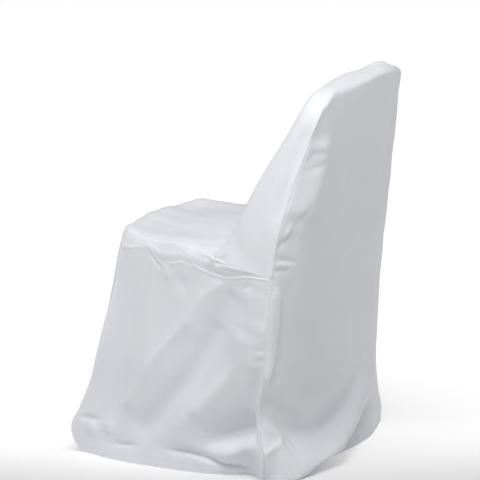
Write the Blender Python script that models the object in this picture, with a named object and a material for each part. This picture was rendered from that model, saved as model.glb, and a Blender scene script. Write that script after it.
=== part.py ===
"""Folding chair cover in polyester cloth, in the shape in which it hangs on its chair.

Metres, +Z up, floor at 0. The back of the cover faces +Y and its left side faces +X.
Four panels are sewn together: a rear panel from the top to the floor, a front panel
that runs over the top, down the inside of the back, across the seat and down to the
floor, and one side panel on each side of the seat.
"""
import bpy
import numpy as np

CLOTH = 0.002
SEAM_SHIFT = 0.0004

BACK_ROWS = 19
SEAT_ROWS = 22
SKIRT_ROWS = 24
COLUMNS = (5, 7, 7, 5)
SKIRT_CROWDING = 1.3
CURVE_STEPS = 40
ROW_STEPS = 600

# Seams as they run in space: across (x), depth (y), height (z).
REAR_SEAM_UPPER = {
    "left": (
        (0.160, 0.2665, 0.758),
        (0.176, 0.2700, 0.745),
        (0.187, 0.2660, 0.726),
        (0.194, 0.2545, 0.692),
        (0.201, 0.2430, 0.654),
        (0.211, 0.2290, 0.610),
        (0.217, 0.2220, 0.575),
        (0.228, 0.2100, 0.526),
        (0.235, 0.2000, 0.475),
        (0.240, 0.1945, 0.414),
    ),
    "right": (
        (-0.170, 0.2640, 0.773),
        (-0.183, 0.2650, 0.761),
        (-0.190, 0.2610, 0.742),
        (-0.192, 0.2540, 0.708),
        (-0.195, 0.2450, 0.664),
        (-0.200, 0.2370, 0.618),
        (-0.208, 0.2290, 0.570),
        (-0.220, 0.2170, 0.518),
        (-0.232, 0.2040, 0.468),
        (-0.240, 0.1910, 0.414),
    ),
}
REAR_SEAM_LOWER = {
    "left": (
        (0.240, 0.1945, 0.414),
        (0.2375, 0.1825, 0.300),
        (0.235, 0.1720, 0.190),
        (0.234, 0.1605, 0.120),
        (0.241, 0.1680, 0.088),
        (0.250, 0.1800, 0.059),
        (0.255, 0.1840, 0.025),
        (0.246, 0.1780, 0.000),
    ),
    "right": (
        (-0.240, 0.1910, 0.414),
        (-0.242, 0.1910, 0.320),
        (-0.241, 0.1870, 0.220),
        (-0.241, 0.1840, 0.130),
        (-0.248, 0.1865, 0.070),
        (-0.254, 0.1900, 0.032),
        (-0.250, 0.1900, 0.000),
    ),
}
SEAT_SEAM = {
    "left": (
        (0.240, 0.1945, 0.414),
        (0.235, 0.137, 0.4125),
        (0.228, 0.090, 0.403),
        (0.222, 0.058, 0.405),
        (0.217, 0.025, 0.411),
        (0.213, -0.004, 0.420),
        (0.210, -0.036, 0.417),
        (0.207, -0.058, 0.409),
        (0.205, -0.073, 0.408),
        (0.2025, -0.088, 0.420),
        (0.199, -0.103, 0.433),
        (0.196, -0.118, 0.437),
        (0.190, -0.150, 0.430),
        (0.178, -0.180, 0.428),
    ),
    "right": (
        (-0.240, 0.191, 0.414),
        (-0.234, 0.130, 0.408),
        (-0.226, 0.075, 0.404),
        (-0.219, 0.020, 0.412),
        (-0.212, -0.040, 0.406),
        (-0.205, -0.100, 0.410),
        (-0.196, -0.150, 0.405),
        (-0.180, -0.190, 0.408),
    ),
}
FRONT_SEAM = {
    "left": (
        (0.178, -0.180, 0.428),
        (0.190, -0.189, 0.340),
        (0.205, -0.203, 0.270),
        (0.215, -0.214, 0.210),
        (0.220, -0.2275, 0.150),
        (0.228, -0.247, 0.095),
        (0.235, -0.2625, 0.056),
        (0.231, -0.256, 0.020),
        (0.222, -0.2443, 0.000),
    ),
    "right": (
        (-0.180, -0.190, 0.408),
        (-0.192, -0.203, 0.330),
        (-0.206, -0.214, 0.250),
        (-0.216, -0.224, 0.170),
        (-0.226, -0.240, 0.100),
        (-0.236, -0.256, 0.045),
        (-0.232, -0.252, 0.000),
    ),
}

# Front panel. Stations 0 to 1 run down the back, 1 to 2 along the seat and 2 to 3 down
# to the floor. The turn is where the cloth rounds the side of the back or the seat.
# station, turn across, turn depth, turn height, middle depth, middle height, and how much
# further out and lower the right turn is
FRONT_SECTIONS = (
    (0.00, 0.115, 0.2590, 0.7760, 0.252, 0.781, 0.013, -0.007),
    (0.06, 0.132, 0.2400, 0.7790, 0.236, 0.783, 0.020, -0.007),
    (0.14, 0.160, 0.2290, 0.7580, 0.214, 0.780, 0.016, -0.012),
    (0.27, 0.183, 0.2050, 0.7030, 0.200, 0.716, 0.003, -0.002),
    (0.40, 0.190, 0.1720, 0.6520, 0.184, 0.655, 0.002, 0.002),
    (0.53, 0.195, 0.1460, 0.6080, 0.172, 0.608, 0.000, 0.002),
    (0.66, 0.1975, 0.1195, 0.5610, 0.160, 0.560, 0.000, 0.003),
    (0.80, 0.200, 0.0940, 0.5100, 0.148, 0.514, 0.000, 0.004),
    (0.92, 0.203, 0.0700, 0.4680, 0.138, 0.474, 0.000, 0.005),
    (1.00, 0.206, 0.0480, 0.4440, 0.130, 0.447, 0.000, 0.006),
    (1.10, 0.206, 0.0340, 0.4430, 0.108, 0.437, 0.000, 0.007),
    (1.25, 0.203, 0.0160, 0.4480, 0.068, 0.446, 0.000, 0.008),
    (1.40, 0.200, -0.005, 0.4500, 0.020, 0.452, 0.000, 0.008),
    (1.55, 0.198, -0.042, 0.4530, -0.038, 0.454, 0.000, 0.009),
    (1.70, 0.194, -0.087, 0.4480, -0.098, 0.454, 0.000, 0.008),
    (1.85, 0.182, -0.136, 0.4520, -0.155, 0.455, 0.000, 0.008),
    (2.00, 0.158, -0.184, 0.4520, -0.204, 0.457, 0.002, 0.008),
    (2.06, 0.148, -0.194, 0.4310, -0.222, 0.438, 0.002, 0.006),
    (2.16, 0.150, -0.2035, 0.3830, -0.228, 0.388, 0.002, 0.004),
    (2.33, 0.156, -0.217, 0.3000, -0.236, 0.302, 0.002, 0.002),
    (2.52, 0.165, -0.232, 0.2080, -0.247, 0.210, 0.001, 0.001),
    (2.70, 0.172, -0.248, 0.1260, -0.257, 0.127, 0.000, 0.000),
    (2.85, 0.182, -0.268, 0.0600, -0.269, 0.060, 0.000, 0.000),
    (3.00, 0.178, -0.262, 0.0000, -0.272, 0.000, 0.000, 0.000),
)

# Rear panel: depth of the cloth at five places across, for sections at falling heights.
# height, band across, left band, left third, middle, right third, right band
REAR_SECTIONS = (
    (0.752, 0.118, 0.2675, 0.2680, 0.2680, 0.2685, 0.2705),
    (0.742, 0.140, 0.2700, 0.2705, 0.2705, 0.2695, 0.2705),
    (0.722, 0.156, 0.2700, 0.2710, 0.2710, 0.2700, 0.2715),
    (0.685, 0.160, 0.2680, 0.2690, 0.2690, 0.2680, 0.2685),
    (0.640, 0.163, 0.2640, 0.2660, 0.2665, 0.2660, 0.2640),
    (0.580, 0.172, 0.2550, 0.2600, 0.2615, 0.2605, 0.2535),
    (0.520, 0.180, 0.2445, 0.2530, 0.2550, 0.2535, 0.2430),
    (0.460, 0.188, 0.2335, 0.2455, 0.2470, 0.2445, 0.2330),
    (0.400, 0.195, 0.2215, 0.2365, 0.2365, 0.2335, 0.2225),
    (0.320, 0.195, 0.2100, 0.2275, 0.2260, 0.2230, 0.2145),
    (0.240, 0.195, 0.2000, 0.2165, 0.2165, 0.2140, 0.2080),
    (0.170, 0.195, 0.1900, 0.2040, 0.2065, 0.2065, 0.2035),
    (0.130, 0.195, 0.1840, 0.2030, 0.2090, 0.2110, 0.2040),
    (0.070, 0.195, 0.1740, 0.2120, 0.2100, 0.2090, 0.1990),
    (0.000, 0.195, 0.1670, 0.2120, 0.2080, 0.2050, 0.1930),
)

# Where the rear panel is too long for its drop it turns out from the hang, comes to a
# crest and tucks back under. Heights are above the floor; the rest is how far out of the
# hang the cloth lies at the crest, at the foot below it, and at the hem.
# across, turn height, crest height, crest out, foot out, hem out
REAR_POOL = (
    (0.246, 0.122, 0.030, 0.000, 0.000, 0.000),
    (0.228, 0.124, 0.012, 0.022, 0.024, 0.026),
    (0.208, 0.122, 0.006, 0.062, 0.062, 0.060),
    (0.185, 0.110, 0.010, 0.076, 0.074, 0.066),
    (0.150, 0.088, 0.018, 0.062, 0.052, 0.045),
    (0.115, 0.072, 0.026, 0.052, 0.030, 0.020),
    (0.080, 0.068, 0.034, 0.048, 0.020, 0.010),
    (0.040, 0.068, 0.042, 0.044, 0.014, 0.010),
    (0.000, 0.073, 0.052, 0.040, 0.010, 0.012),
    (-0.050, 0.090, 0.068, 0.033, 0.003, 0.016),
    (-0.100, 0.118, 0.092, 0.025, -0.002, 0.018),
    (-0.150, 0.144, 0.116, 0.015, -0.006, 0.020),
    (-0.200, 0.164, 0.134, 0.005, -0.004, 0.012),
    (-0.250, 0.170, 0.140, 0.000, 0.000, 0.000),
)

# Side panels: how far out the cloth hangs at six depths from front to rear, and those
# depths, for sections at falling heights.
SIDE_DEPTHS = (-0.160, -0.100, -0.040, 0.020, 0.080, 0.130)
SIDE_SECTIONS = {
    "left": (
        (0.340, (0.196, 0.207, 0.215, 0.222, 0.229, 0.234)),
        (0.260, (0.206, 0.219, 0.226, 0.230, 0.232, 0.234)),
        (0.180, (0.218, 0.233, 0.240, 0.240, 0.236, 0.233)),
        (0.120, (0.226, 0.240, 0.246, 0.246, 0.239, 0.230)),
        (0.070, (0.236, 0.245, 0.248, 0.250, 0.244, 0.231)),
        (0.035, (0.240, 0.249, 0.250, 0.251, 0.243, 0.226)),
        (0.000, (0.2465, 0.2525, 0.2525, 0.252, 0.240, 0.214)),
    ),
    "right": (
        (0.340, (0.200, 0.211, 0.214, 0.220, 0.229, 0.234)),
        (0.260, (0.210, 0.222, 0.222, 0.226, 0.233, 0.235)),
        (0.180, (0.220, 0.234, 0.231, 0.233, 0.240, 0.237)),
        (0.120, (0.228, 0.243, 0.239, 0.240, 0.247, 0.240)),
        (0.070, (0.238, 0.250, 0.246, 0.248, 0.252, 0.244)),
        (0.035, (0.243, 0.252, 0.250, 0.252, 0.253, 0.246)),
        (0.000, (0.245, 0.250, 0.2525, 0.253, 0.252, 0.246)),
    ),
}

# Folds: a path over the face, how wide the fold is to the left and right of that path,
# and how far it rises, less than nothing for a trough. Paths are (depth, height) on the
# sides, (across, height) on the rear, the drop and the inner back, (across, depth) on
# the seat.
FOLDS = {
    "left side": (
        ("long ridge", ((0.085, 0.398), (0.050, 0.370), (0.022, 0.343), (-0.005, 0.298),
                        (-0.051, 0.242), (-0.085, 0.197), (-0.112, 0.149), (-0.142, 0.098)),
         0.024, 0.013, 0.005, 1.3),
        ("long ridge's swell", ((0.010, 0.325), (-0.005, 0.298), (-0.051, 0.242), (-0.085, 0.197),
                                (-0.112, 0.149), (-0.142, 0.098)), 0.024, 0.013, 0.004, 1.3),
        ("slanting trough", ((0.110, 0.385), (0.075, 0.315), (0.020, 0.205), (-0.040, 0.130),
                             (-0.085, 0.080), (-0.112, 0.040)), 0.024, 0.026, -0.006, 2.0),
        ("trough's depth", ((0.075, 0.315), (0.020, 0.205), (-0.040, 0.130), (-0.085, 0.080),
                            (-0.105, 0.052)), 0.024, 0.026, -0.006, 2.0),
        ("broad ridge", ((0.150, 0.400), (0.146, 0.385), (0.140, 0.345), (0.122, 0.290),
                         (0.110, 0.228), (0.083, 0.184), (0.042, 0.140), (0.005, 0.100),
                         (-0.035, 0.066)), 0.034, 0.018, 0.0045, 1.6),
        ("broad ridge's swell", ((0.128, 0.310), (0.122, 0.290), (0.110, 0.228), (0.083, 0.184),
                                 (0.042, 0.140), (0.012, 0.108)), 0.034, 0.016, 0.008, 1.6),
        ("seam trough", ((0.170, 0.215), (0.160, 0.165), (0.146, 0.125), (0.125, 0.100)),
         0.014, 0.020, -0.009, 1.8),
        ("corner trough", ((0.172, 0.112), (0.153, 0.098), (0.123, 0.082), (0.082, 0.068),
                           (0.050, 0.058)), 0.012, 0.030, -0.021, 1.4),
        ("corner lobe", ((0.168, 0.072), (0.135, 0.060), (0.100, 0.047), (0.065, 0.038)),
         0.018, 0.018, 0.014, 1.6),
        ("hem tuck", ((-0.034, 0.038), (0.020, 0.039), (0.060, 0.031), (0.095, 0.020),
                      (0.140, 0.012)), 0.007, 0.006, -0.010, 1.6),
        ("front dent", ((-0.246, 0.074), (-0.215, 0.075), (-0.196, 0.074)), 0.006, 0.006, -0.006, 1.4),
        ("front bulge", ((-0.205, 0.066), (-0.222, 0.040)), 0.014, 0.014, 0.006, 2.0),
        ("front ridge", ((-0.172, 0.078), (-0.180, 0.045)), 0.012, 0.014, 0.005, 1.6),
        ("short tuck", ((-0.166, 0.031), (-0.142, 0.034), (-0.114, 0.036)), 0.005, 0.005, -0.006, 1.5),
    ),
    "right side": (
        ("front ridge", ((-0.124, 0.430), (-0.120, 0.380), (-0.110, 0.260), (-0.130, 0.060)),
         0.026, 0.022, 0.007, 2.0),
        ("middle trough", ((-0.014, 0.430), (-0.020, 0.390), (-0.045, 0.260), (-0.030, 0.080)),
         0.024, 0.026, -0.007, 2.0),
        ("rear ridge", ((0.142, 0.430), (0.130, 0.385), (0.085, 0.250), (0.075, 0.050)),
         0.028, 0.024, 0.008, 2.0),
        ("hem tuck", ((0.020, 0.040), (0.085, 0.032), (0.140, 0.020)),
         0.012, 0.007, -0.005, 2.0),
        ("corner trough", ((0.155, 0.210), (0.135, 0.080)), 0.014, 0.016, -0.006, 2.0),
    ),
    "rear": (
        ("left hang trough", ((0.203, 0.420), (0.203, 0.180)), 0.014, 0.016, -0.003, 2.0),
        ("left hang ridge", ((0.100, 0.440), (0.088, 0.160)), 0.030, 0.030, 0.004, 2.0),
        ("middle hang trough", ((-0.010, 0.440), (-0.022, 0.170)), 0.030, 0.030, -0.004, 2.0),
        ("right hang ridge", ((-0.140, 0.420), (-0.153, 0.190)), 0.026, 0.026, 0.004, 2.0),
        ("tongue crease", ((0.212, 0.126), (0.203, 0.097), (0.195, 0.076), (0.186, 0.040)),
         0.007, 0.006, -0.006, 1.4),
        ("upper tuck", ((0.196, 0.630), (0.150, 0.645)), 0.008, 0.010, -0.003, 2.0),
    ),
    "drop": (
        ("left ridge", ((0.110, 0.430), (0.120, 0.250), (0.125, 0.040)),
         0.026, 0.026, 0.007, 2.0),
        ("middle trough", ((0.030, 0.430), (0.045, 0.250), (0.040, 0.060)),
         0.030, 0.026, -0.006, 2.0),
        ("middle ridge", ((-0.050, 0.420), (-0.050, 0.220), (-0.040, 0.030)),
         0.028, 0.032, 0.007, 2.0),
        ("right trough", ((-0.120, 0.420), (-0.125, 0.200), (-0.120, 0.050)),
         0.026, 0.024, -0.006, 2.0),
        ("hem tuck", ((0.120, 0.036), (0.040, 0.030), (-0.030, 0.036)),
         0.007, 0.012, -0.004, 2.0),
    ),
    "seat": (
        ("front dip", ((-0.080, -0.200), (-0.075, -0.120)), 0.040, 0.040, -0.003, 2.0),
        ("left pull", ((0.185, 0.000), (0.110, 0.060)), 0.014, 0.016, -0.003, 2.0),
    ),
    "inner back": (
        ("left pull", ((0.150, 0.480), (0.080, 0.560)), 0.018, 0.020, -0.004, 2.0),
        ("right pull", ((-0.155, 0.470), (-0.090, 0.580)), 0.018, 0.020, -0.004, 2.0),
    ),
    "left wing": (
        ("elbow trough", ((0.175, 0.425), (0.120, 0.455), (0.080, 0.500)),
         0.020, 0.024, -0.002, 2.0),
    ),
    "right wing": (
        ("elbow trough", ((0.170, 0.430), (0.110, 0.465)), 0.016, 0.018, -0.005, 2.0),
    ),
}
# Each face's outward direction, and the axes that its folds are placed by.
FACES = {
    "left side": ((1, 0, 0), (1, 2)),
    "right side": ((-1, 0, 0), (1, 2)),
    "rear": ((0, 1, 0), (0, 2)),
    "drop": ((0, -1, 0), (0, 2)),
    "seat": ((0, 0, 1), (0, 1)),
    "inner back": ((0, -1, 0), (0, 2)),
    "left wing": ((1, 0, 0), (1, 2)),
    "right wing": ((-1, 0, 0), (1, 2)),
}
FACES_OF_PANEL = {
    "rear_panel": ("rear",),
    "front_panel": ("drop", "seat", "inner back", "left wing", "right wing"),
    "side_panel_left": ("left side",),
    "side_panel_right": ("right side",),
}
# Panels whose columns run the other way round the cover, so their normals are turned.
TURNED_PANELS = ("rear_panel", "side_panel_left")
# How far from a seam a fold comes in, and how far the cloth bulges beside the back.
SEAM_HOLD = 0.016
WING_BULGE = 0.09
INNER_SHARE = 0.60
INNER_DEPTH_SHARE = 0.62
# Above this height the middle of the rear panel rises with the top of the back.
CROWN_FROM = 0.66
CROWN_RISE = 0.10
# How far a place must face its fold's way before it feels the fold, and how soon fully.
FACING_FROM = 0.2
FACING_RISE = 0.5
SEAT_EDGE = 0.445
POOL_FOOT = 0.45
POOL_FADE = 0.018
POOL_UNDER = 1.5
# A fold tapers to this share of its rise over this share or length of its ends.
FOLD_END_RISE = 0.25
FOLD_END_SHARE = 0.35
FOLD_END = 0.03
PATH_STEPS = 6
# A narrower fold would fall between the rows and columns, so it is made this wide.
WIDTH_LEAST = 0.010
MITRE_LEAST = 0.6

COLOURS = {
    "rear_panel": (0.80, 0.80, 0.81, 1.0),
    "front_panel": (0.84, 0.84, 0.85, 1.0),
    "side_panel_left": (0.82, 0.82, 0.83, 1.0),
    "side_panel_right": (0.82, 0.82, 0.83, 1.0),
}


def smooth_curve(keys, values, places):
    """A smooth curve through the values at the rising keys, read at the places."""
    keys, values = np.asarray(keys, float), np.asarray(values, float)
    flat = values.reshape(len(keys), -1)
    step = np.diff(keys)[:, None]
    slope = np.diff(flat, axis=0) / step
    tangent = np.vstack((slope[:1], slope[-1:])) if len(keys) == 2 else np.vstack((
        slope[:1],
        (slope[:-1] * step[1:] + slope[1:] * step[:-1]) / (step[1:] + step[:-1]),
        slope[-1:]))
    places = np.clip(np.asarray(places, float), keys[0], keys[-1])
    span = np.clip(np.searchsorted(keys, places, side="right") - 1, 0, len(keys) - 2)
    length = step[span]
    t = ((places - keys[span])[:, None]) / length
    read = (flat[span] * (1 + 2 * t) * (1 - t) ** 2 + flat[span + 1] * t ** 2 * (3 - 2 * t)
            + tangent[span] * length * t * (1 - t) ** 2
            - tangent[span + 1] * length * t ** 2 * (1 - t))
    return read.reshape((len(places),) + values.shape[1:])


def lengths_along(points):
    """Distance run from the first point to each point."""
    return np.concatenate(([0.0], np.cumsum(np.linalg.norm(np.diff(points, axis=0), axis=1))))


def spread(points, shares):
    """Points of a smooth line through the given ones, at shares of its length."""
    points = np.asarray(points, float)
    keys = lengths_along(points)
    dense = smooth_curve(keys, points, np.linspace(0, keys[-1], CURVE_STEPS * len(points)))
    run = lengths_along(dense)
    places = np.asarray(shares) * run[-1]
    return np.stack([np.interp(places, run, dense[:, axis])
                     for axis in range(points.shape[1])], axis=1)


def smoothstep(share):
    share = np.clip(share, 0, 1)
    return share * share * (3 - 2 * share)


def even(count):
    return np.linspace(0, 1, count + 1)


def crowded(count):
    """Shares of a drop, closer together towards the hem."""
    return 1 - (1 - even(count)) ** SKIRT_CROWDING


def seams(side):
    """The rear seam in two lengths, the seat seam and the front seam of one side."""
    return {
        "upper": spread(REAR_SEAM_UPPER[side], even(BACK_ROWS)),
        "lower": spread(REAR_SEAM_LOWER[side], crowded(SKIRT_ROWS)),
        "seat": spread(SEAT_SEAM[side], even(SEAT_ROWS)),
        "front": spread(FRONT_SEAM[side], crowded(SKIRT_ROWS)),
    }


def across_line(points, turns):
    """One row across a panel, with a set number of columns between its turns."""
    keys = lengths_along(points)
    dense = np.linspace(0, keys[-1], ROW_STEPS)
    curve = smooth_curve(keys, points, dense)
    run = lengths_along(curve)
    marks = np.interp(keys[list(turns)], dense, run)
    places = [np.linspace(marks[i], marks[i + 1], count + 1)[:-1] for i, count in enumerate(COLUMNS)]
    places = np.append(np.concatenate(places), marks[-1])
    return np.stack([np.interp(places, run, curve[:, axis]) for axis in range(3)], axis=1)


def front_row(left_edge, right_edge, section):
    """A row of the front panel, from the left seam round both turns to the right one."""
    turn_across, turn_depth, turn_height, middle_depth, middle_height, out, sink = section
    turn = np.array((turn_across, turn_depth, turn_height))
    middle = np.array((0.0, middle_depth, middle_height))
    half = []
    for sign, edge, shift in ((1, left_edge, (0, 0, 0)), (-1, right_edge, (out, 0, -sink))):
        corner = (turn + shift) * (sign, 1, 1)
        side = (edge + corner) / 2
        side[0] += sign * WING_BULGE * np.linalg.norm(edge - corner)
        inner = middle + (corner - middle) * (INNER_SHARE, 1 - INNER_DEPTH_SHARE, 0.5)
        half.append((edge, side, corner, inner))
    left, right = half
    return across_line(np.array(left + (middle,) + right[::-1]), (0, 2, 4, 6, 8))


def front_grid(left, right):
    """The front panel, row by row from the top seam to the front hem."""
    table = np.array(FRONT_SECTIONS)
    stations = np.concatenate((even(BACK_ROWS), 1 + even(SEAT_ROWS)[1:],
                               2 + crowded(SKIRT_ROWS)[1:]))
    sections = smooth_curve(table[:, 0], table[:, 1:], stations)
    edges = [np.concatenate((s["upper"], s["seat"][1:], s["front"][1:])) for s in (left, right)]
    rows = [front_row(a, b, section) for a, b, section in zip(*edges, sections)]
    grid = np.array(rows)
    grid[-1, :, 2] = 0.0
    return grid


def rear_grid(top_row, left, right):
    """The rear panel, row by row from the top seam to the rear hem."""
    edges = [np.concatenate((s["upper"], s["lower"][1:])) for s in (left, right)]
    heights = edges[0][:, 2]
    sections, keys = [top_row], [-heights[0]]
    crown = top_row[:, 2] - top_row[0, 2]
    for row in REAR_SECTIONS:
        height, band, depths = row[0], row[1], row[2:]
        ends = [np.array([np.interp(-height, -e[:, 2], e[:, axis]) for axis in range(3)])
                for e in edges]
        places = (band, band / 2, 0.0, -band / 2, -band)
        inside = [(x, y, height) for x, y in zip(places, depths)]
        line = across_line(np.array([ends[0], *inside, ends[1]]), (0, 1, 3, 5, 6))
        line[:, 2] += crown * np.clip((height - CROWN_FROM) / CROWN_RISE, 0, 1)
        sections.append(line)
        keys.append(-height)
    grid = smooth_curve(keys, np.array(sections), -heights)
    return pooled(pin_sides(grid, *edges))


def pooled(grid):
    """Bring the foot of the rear panel out to its crest and back under it."""
    across, height = grid[..., 0], grid[..., 2]
    rows = np.array(REAR_POOL)[::-1]
    read = smooth_curve(rows[:, 0], rows[:, 1:], across.ravel()).reshape(grid.shape[:2] + (5,))
    turn, crest, crest_out, foot_out, hem_out = np.moveaxis(read, -1, 0)
    foot = POOL_FOOT * crest
    above = np.clip((turn - height) / (turn - crest), 0, 1)
    below = np.clip((crest - height) / (crest - foot), 0, 1)
    under = np.clip(1 - height / foot, 0, 1)
    out = crest_out * above + (foot_out - crest_out) * smoothstep(below) \
        + (hem_out - foot_out) * under ** POOL_UNDER
    reach = reaches(grid)
    grid[..., 1] += out * smoothstep(np.minimum(reach["first"], reach["last"]) / POOL_FADE)
    return grid


def side_grid(side, seam):
    """A side panel, row by row from the seat seam to the hem, front to rear across."""
    sign = 1 if side == "left" else -1
    top_row = seam["seat"][::-1]
    heights = seam["lower"][:, 2]
    sections, keys = [top_row], [-heights[0]]
    for height, outs in SIDE_SECTIONS[side]:
        ends = [np.array([np.interp(-height, -seam[name][:, 2], seam[name][:, axis])
                          for axis in range(3)]) for name in ("front", "lower")]
        inside = [(sign * x, y, height) for x, y in zip(outs, SIDE_DEPTHS)]
        sections.append(spread([ends[0], *inside, ends[1]], even(SEAT_ROWS)))
        keys.append(-height)
    grid = smooth_curve(keys, np.array(sections), -heights)
    return pin_sides(grid, seam["front"], seam["lower"])


def pin_sides(grid, first, last):
    """Move a grid's two sides onto their seams, and what lies between them in share."""
    share = np.linspace(0, 1, grid.shape[1])[None, :, None]
    grid = grid + (1 - share) * (first - grid[:, 0])[:, None] + share * (last - grid[:, -1])[:, None]
    grid[-1, :, 2] = 0.0
    return grid


def grid_normals(grid):
    """Outward or inward normal of each point, from its neighbours along and across."""
    down = np.gradient(grid, axis=0)
    across = np.gradient(grid, axis=1)
    normal = np.cross(across, down)
    normal /= np.linalg.norm(normal, axis=2, keepdims=True)
    # The top seam runs smoothly through the upper corners, where both ways line up.
    normal[0, 0], normal[0, -1] = normal[1, 1], normal[1, -2]
    return normal


def outward(grid, name):
    """The grid's normals, turned to point away from the chair."""
    normal = grid_normals(grid)
    return -normal if name in TURNED_PANELS else normal


def path_profile(flat, path, left_width, right_width, power):
    """How strongly each place feels a fold that follows the path, from 0 to 1."""
    points = spread(path, np.linspace(0, 1, PATH_STEPS * (len(path) - 1) + 1))
    run = lengths_along(points)
    ends = min(FOLD_END_SHARE * run[-1], FOLD_END)
    best = np.full(flat.shape[:-1], np.inf)
    strength = np.zeros(flat.shape[:-1])
    for i in range(len(points) - 1):
        leg = points[i + 1] - points[i]
        length = np.linalg.norm(leg)
        along = np.clip(((flat - points[i]) @ leg) / length ** 2, 0, 1)
        offset = flat - (points[i] + along[..., None] * leg)
        distance = np.linalg.norm(offset, axis=-1)
        turn = leg[0] * offset[..., 1] - leg[1] * offset[..., 0]
        width = np.maximum(np.where(turn > 0, left_width, right_width), WIDTH_LEAST)
        place = run[i] + along * length
        taper = smoothstep(np.minimum(place, run[-1] - place) / ends)
        taper = FOLD_END_RISE + (1 - FOLD_END_RISE) * taper
        nearer = distance < best
        best = np.where(nearer, distance, best)
        strength = np.where(nearer, np.exp(-(distance / width) ** power) * taper, strength)
    return strength


def reaches(grid):
    """How far each point is along the cloth from the grid's top, bottom and two sides."""
    down = np.cumsum(np.linalg.norm(np.diff(grid, axis=0), axis=2), axis=0)
    down = np.concatenate((np.zeros((1, grid.shape[1])), down))
    across = np.cumsum(np.linalg.norm(np.diff(grid, axis=1), axis=2), axis=1)
    across = np.concatenate((np.zeros((grid.shape[0], 1)), across), axis=1)
    return {"top": down, "bottom": down[-1:] - down, "first": across, "last": across[:, -1:] - across}


def seam_hold(grid, distance):
    """0 on a panel's seams, rising to 1 at the distance from them; the hem is free."""
    reach = reaches(grid)
    nearest = np.minimum(reach["top"], np.minimum(reach["first"], reach["last"]))
    return smoothstep(nearest / distance)


def folded(grid, name):
    """The grid with each of its panel's folds raised or sunk in it."""
    normal = outward(grid, name)
    move = np.zeros(grid.shape[:2])
    for face in FACES_OF_PANEL[name]:
        direction, axes = FACES[face]
        facing = np.clip((normal @ np.array(direction, float) - FACING_FROM) / FACING_RISE, 0, 1)
        if face == "drop":
            facing = facing * (grid[..., 2] < SEAT_EDGE)
        if face == "inner back":
            facing = facing * (grid[..., 2] > SEAT_EDGE)
        for _, path, left_width, right_width, rise, power in FOLDS[face]:
            move += facing * rise * path_profile(grid[..., list(axes)], path,
                                                 left_width, right_width, power)
    result = grid + normal * (move * seam_hold(grid, SEAM_HOLD))[..., None]
    result[..., 2] = np.maximum(result[..., 2], 0.0)
    result[-1, :, 2] = 0.0
    return result


def shared_normals(grids):
    """One normal for each place, so that panels which meet on a seam share it."""
    total = {}
    for name, grid in grids.items():
        for key, normal in zip(keys_of(grid), outward(grid, name).reshape(-1, 3)):
            total[key] = total.get(key, 0) + normal
    return {key: normal / np.linalg.norm(normal) for key, normal in total.items()}


def keys_of(grid):
    return [tuple(point) for point in np.round(grid.reshape(-1, 3), 6)]


def inner_layer(grid, name, shared):
    """The cloth's inside face, one thickness in, mitred where two panels meet."""
    own = outward(grid, name)
    normal = np.array([shared[key] for key in keys_of(grid)]).reshape(grid.shape)
    normal[-1, :, 2] = 0.0
    normal /= np.linalg.norm(normal, axis=2, keepdims=True)
    mitre = np.clip((normal * own).sum(axis=2), MITRE_LEAST, 1.0)
    inner = grid - normal * (CLOTH / mitre)[..., None]
    inner[..., 2] = np.maximum(inner[..., 2], 0.0)
    return inner


def rim_of(index):
    """The points round a grid, down its first side, along the hem, up and back."""
    return np.concatenate((index[:-1, 0], index[-1, :-1], index[:0:-1, -1], index[0, :0:-1]))


def part_seams(grid, name):
    """Draw a layer's seam edges a little into its own panel, so panels don't touch."""
    rows, columns = grid.shape[:2]
    rim = rim_of(np.arange(rows * columns).reshape(rows, columns))
    flat, normal = grid.reshape(-1, 3).copy(), outward(grid, name).reshape(-1, 3)[rim]
    tangent = np.roll(flat[rim], -1, axis=0) - np.roll(flat[rim], 1, axis=0)
    inward = np.cross(normal, tangent)
    inward /= np.linalg.norm(inward, axis=1, keepdims=True)
    if name not in TURNED_PANELS:
        inward = -inward
    on_hem = np.arange(len(rim))
    on_hem = (on_hem >= rows) & (on_hem < rows + columns - 2)
    flat[rim] += np.where(on_hem, 0, SEAM_SHIFT)[:, None] * inward
    moved = flat.reshape(grid.shape)
    moved[-1, :, 2] = 0.0
    return moved


def panel_object(name, outer, inner):
    """Close the two layers into one solid and make its object."""
    rows, columns = outer.shape[:2]
    count = rows * columns
    index = np.arange(count).reshape(rows, columns)
    quads = np.stack((index[:-1, :-1], index[1:, :-1], index[1:, 1:], index[:-1, 1:]), axis=-1)
    faces = [tuple(q) for q in quads.reshape(-1, 4)]
    faces += [tuple(q[::-1] + count) for q in quads.reshape(-1, 4)]
    rim = rim_of(index)
    for a, b in zip(rim, np.roll(rim, -1)):
        faces.append((b, a, a + count, b + count))
    if name not in TURNED_PANELS:
        faces = [face[::-1] for face in faces]
    points = np.concatenate((outer.reshape(-1, 3), inner.reshape(-1, 3)))
    mesh = bpy.data.meshes.new(name)
    mesh.from_pydata(points.tolist(), [], [tuple(int(i) for i in face) for face in faces])
    mesh.update()
    mesh.shade_smooth()
    mesh.materials.append(cloth_material(name))
    panel = bpy.data.objects.new(name, mesh)
    bpy.context.scene.collection.objects.link(panel)
    return panel


def cloth_material(name):
    material = bpy.data.materials.new(name + "_polyester")
    material.use_nodes = True
    shader = material.node_tree.nodes["Principled BSDF"]
    shader.inputs["Base Color"].default_value = COLOURS[name]
    shader.inputs["Roughness"].default_value = 0.55
    shader.inputs["Metallic"].default_value = 0.0
    return material


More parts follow.
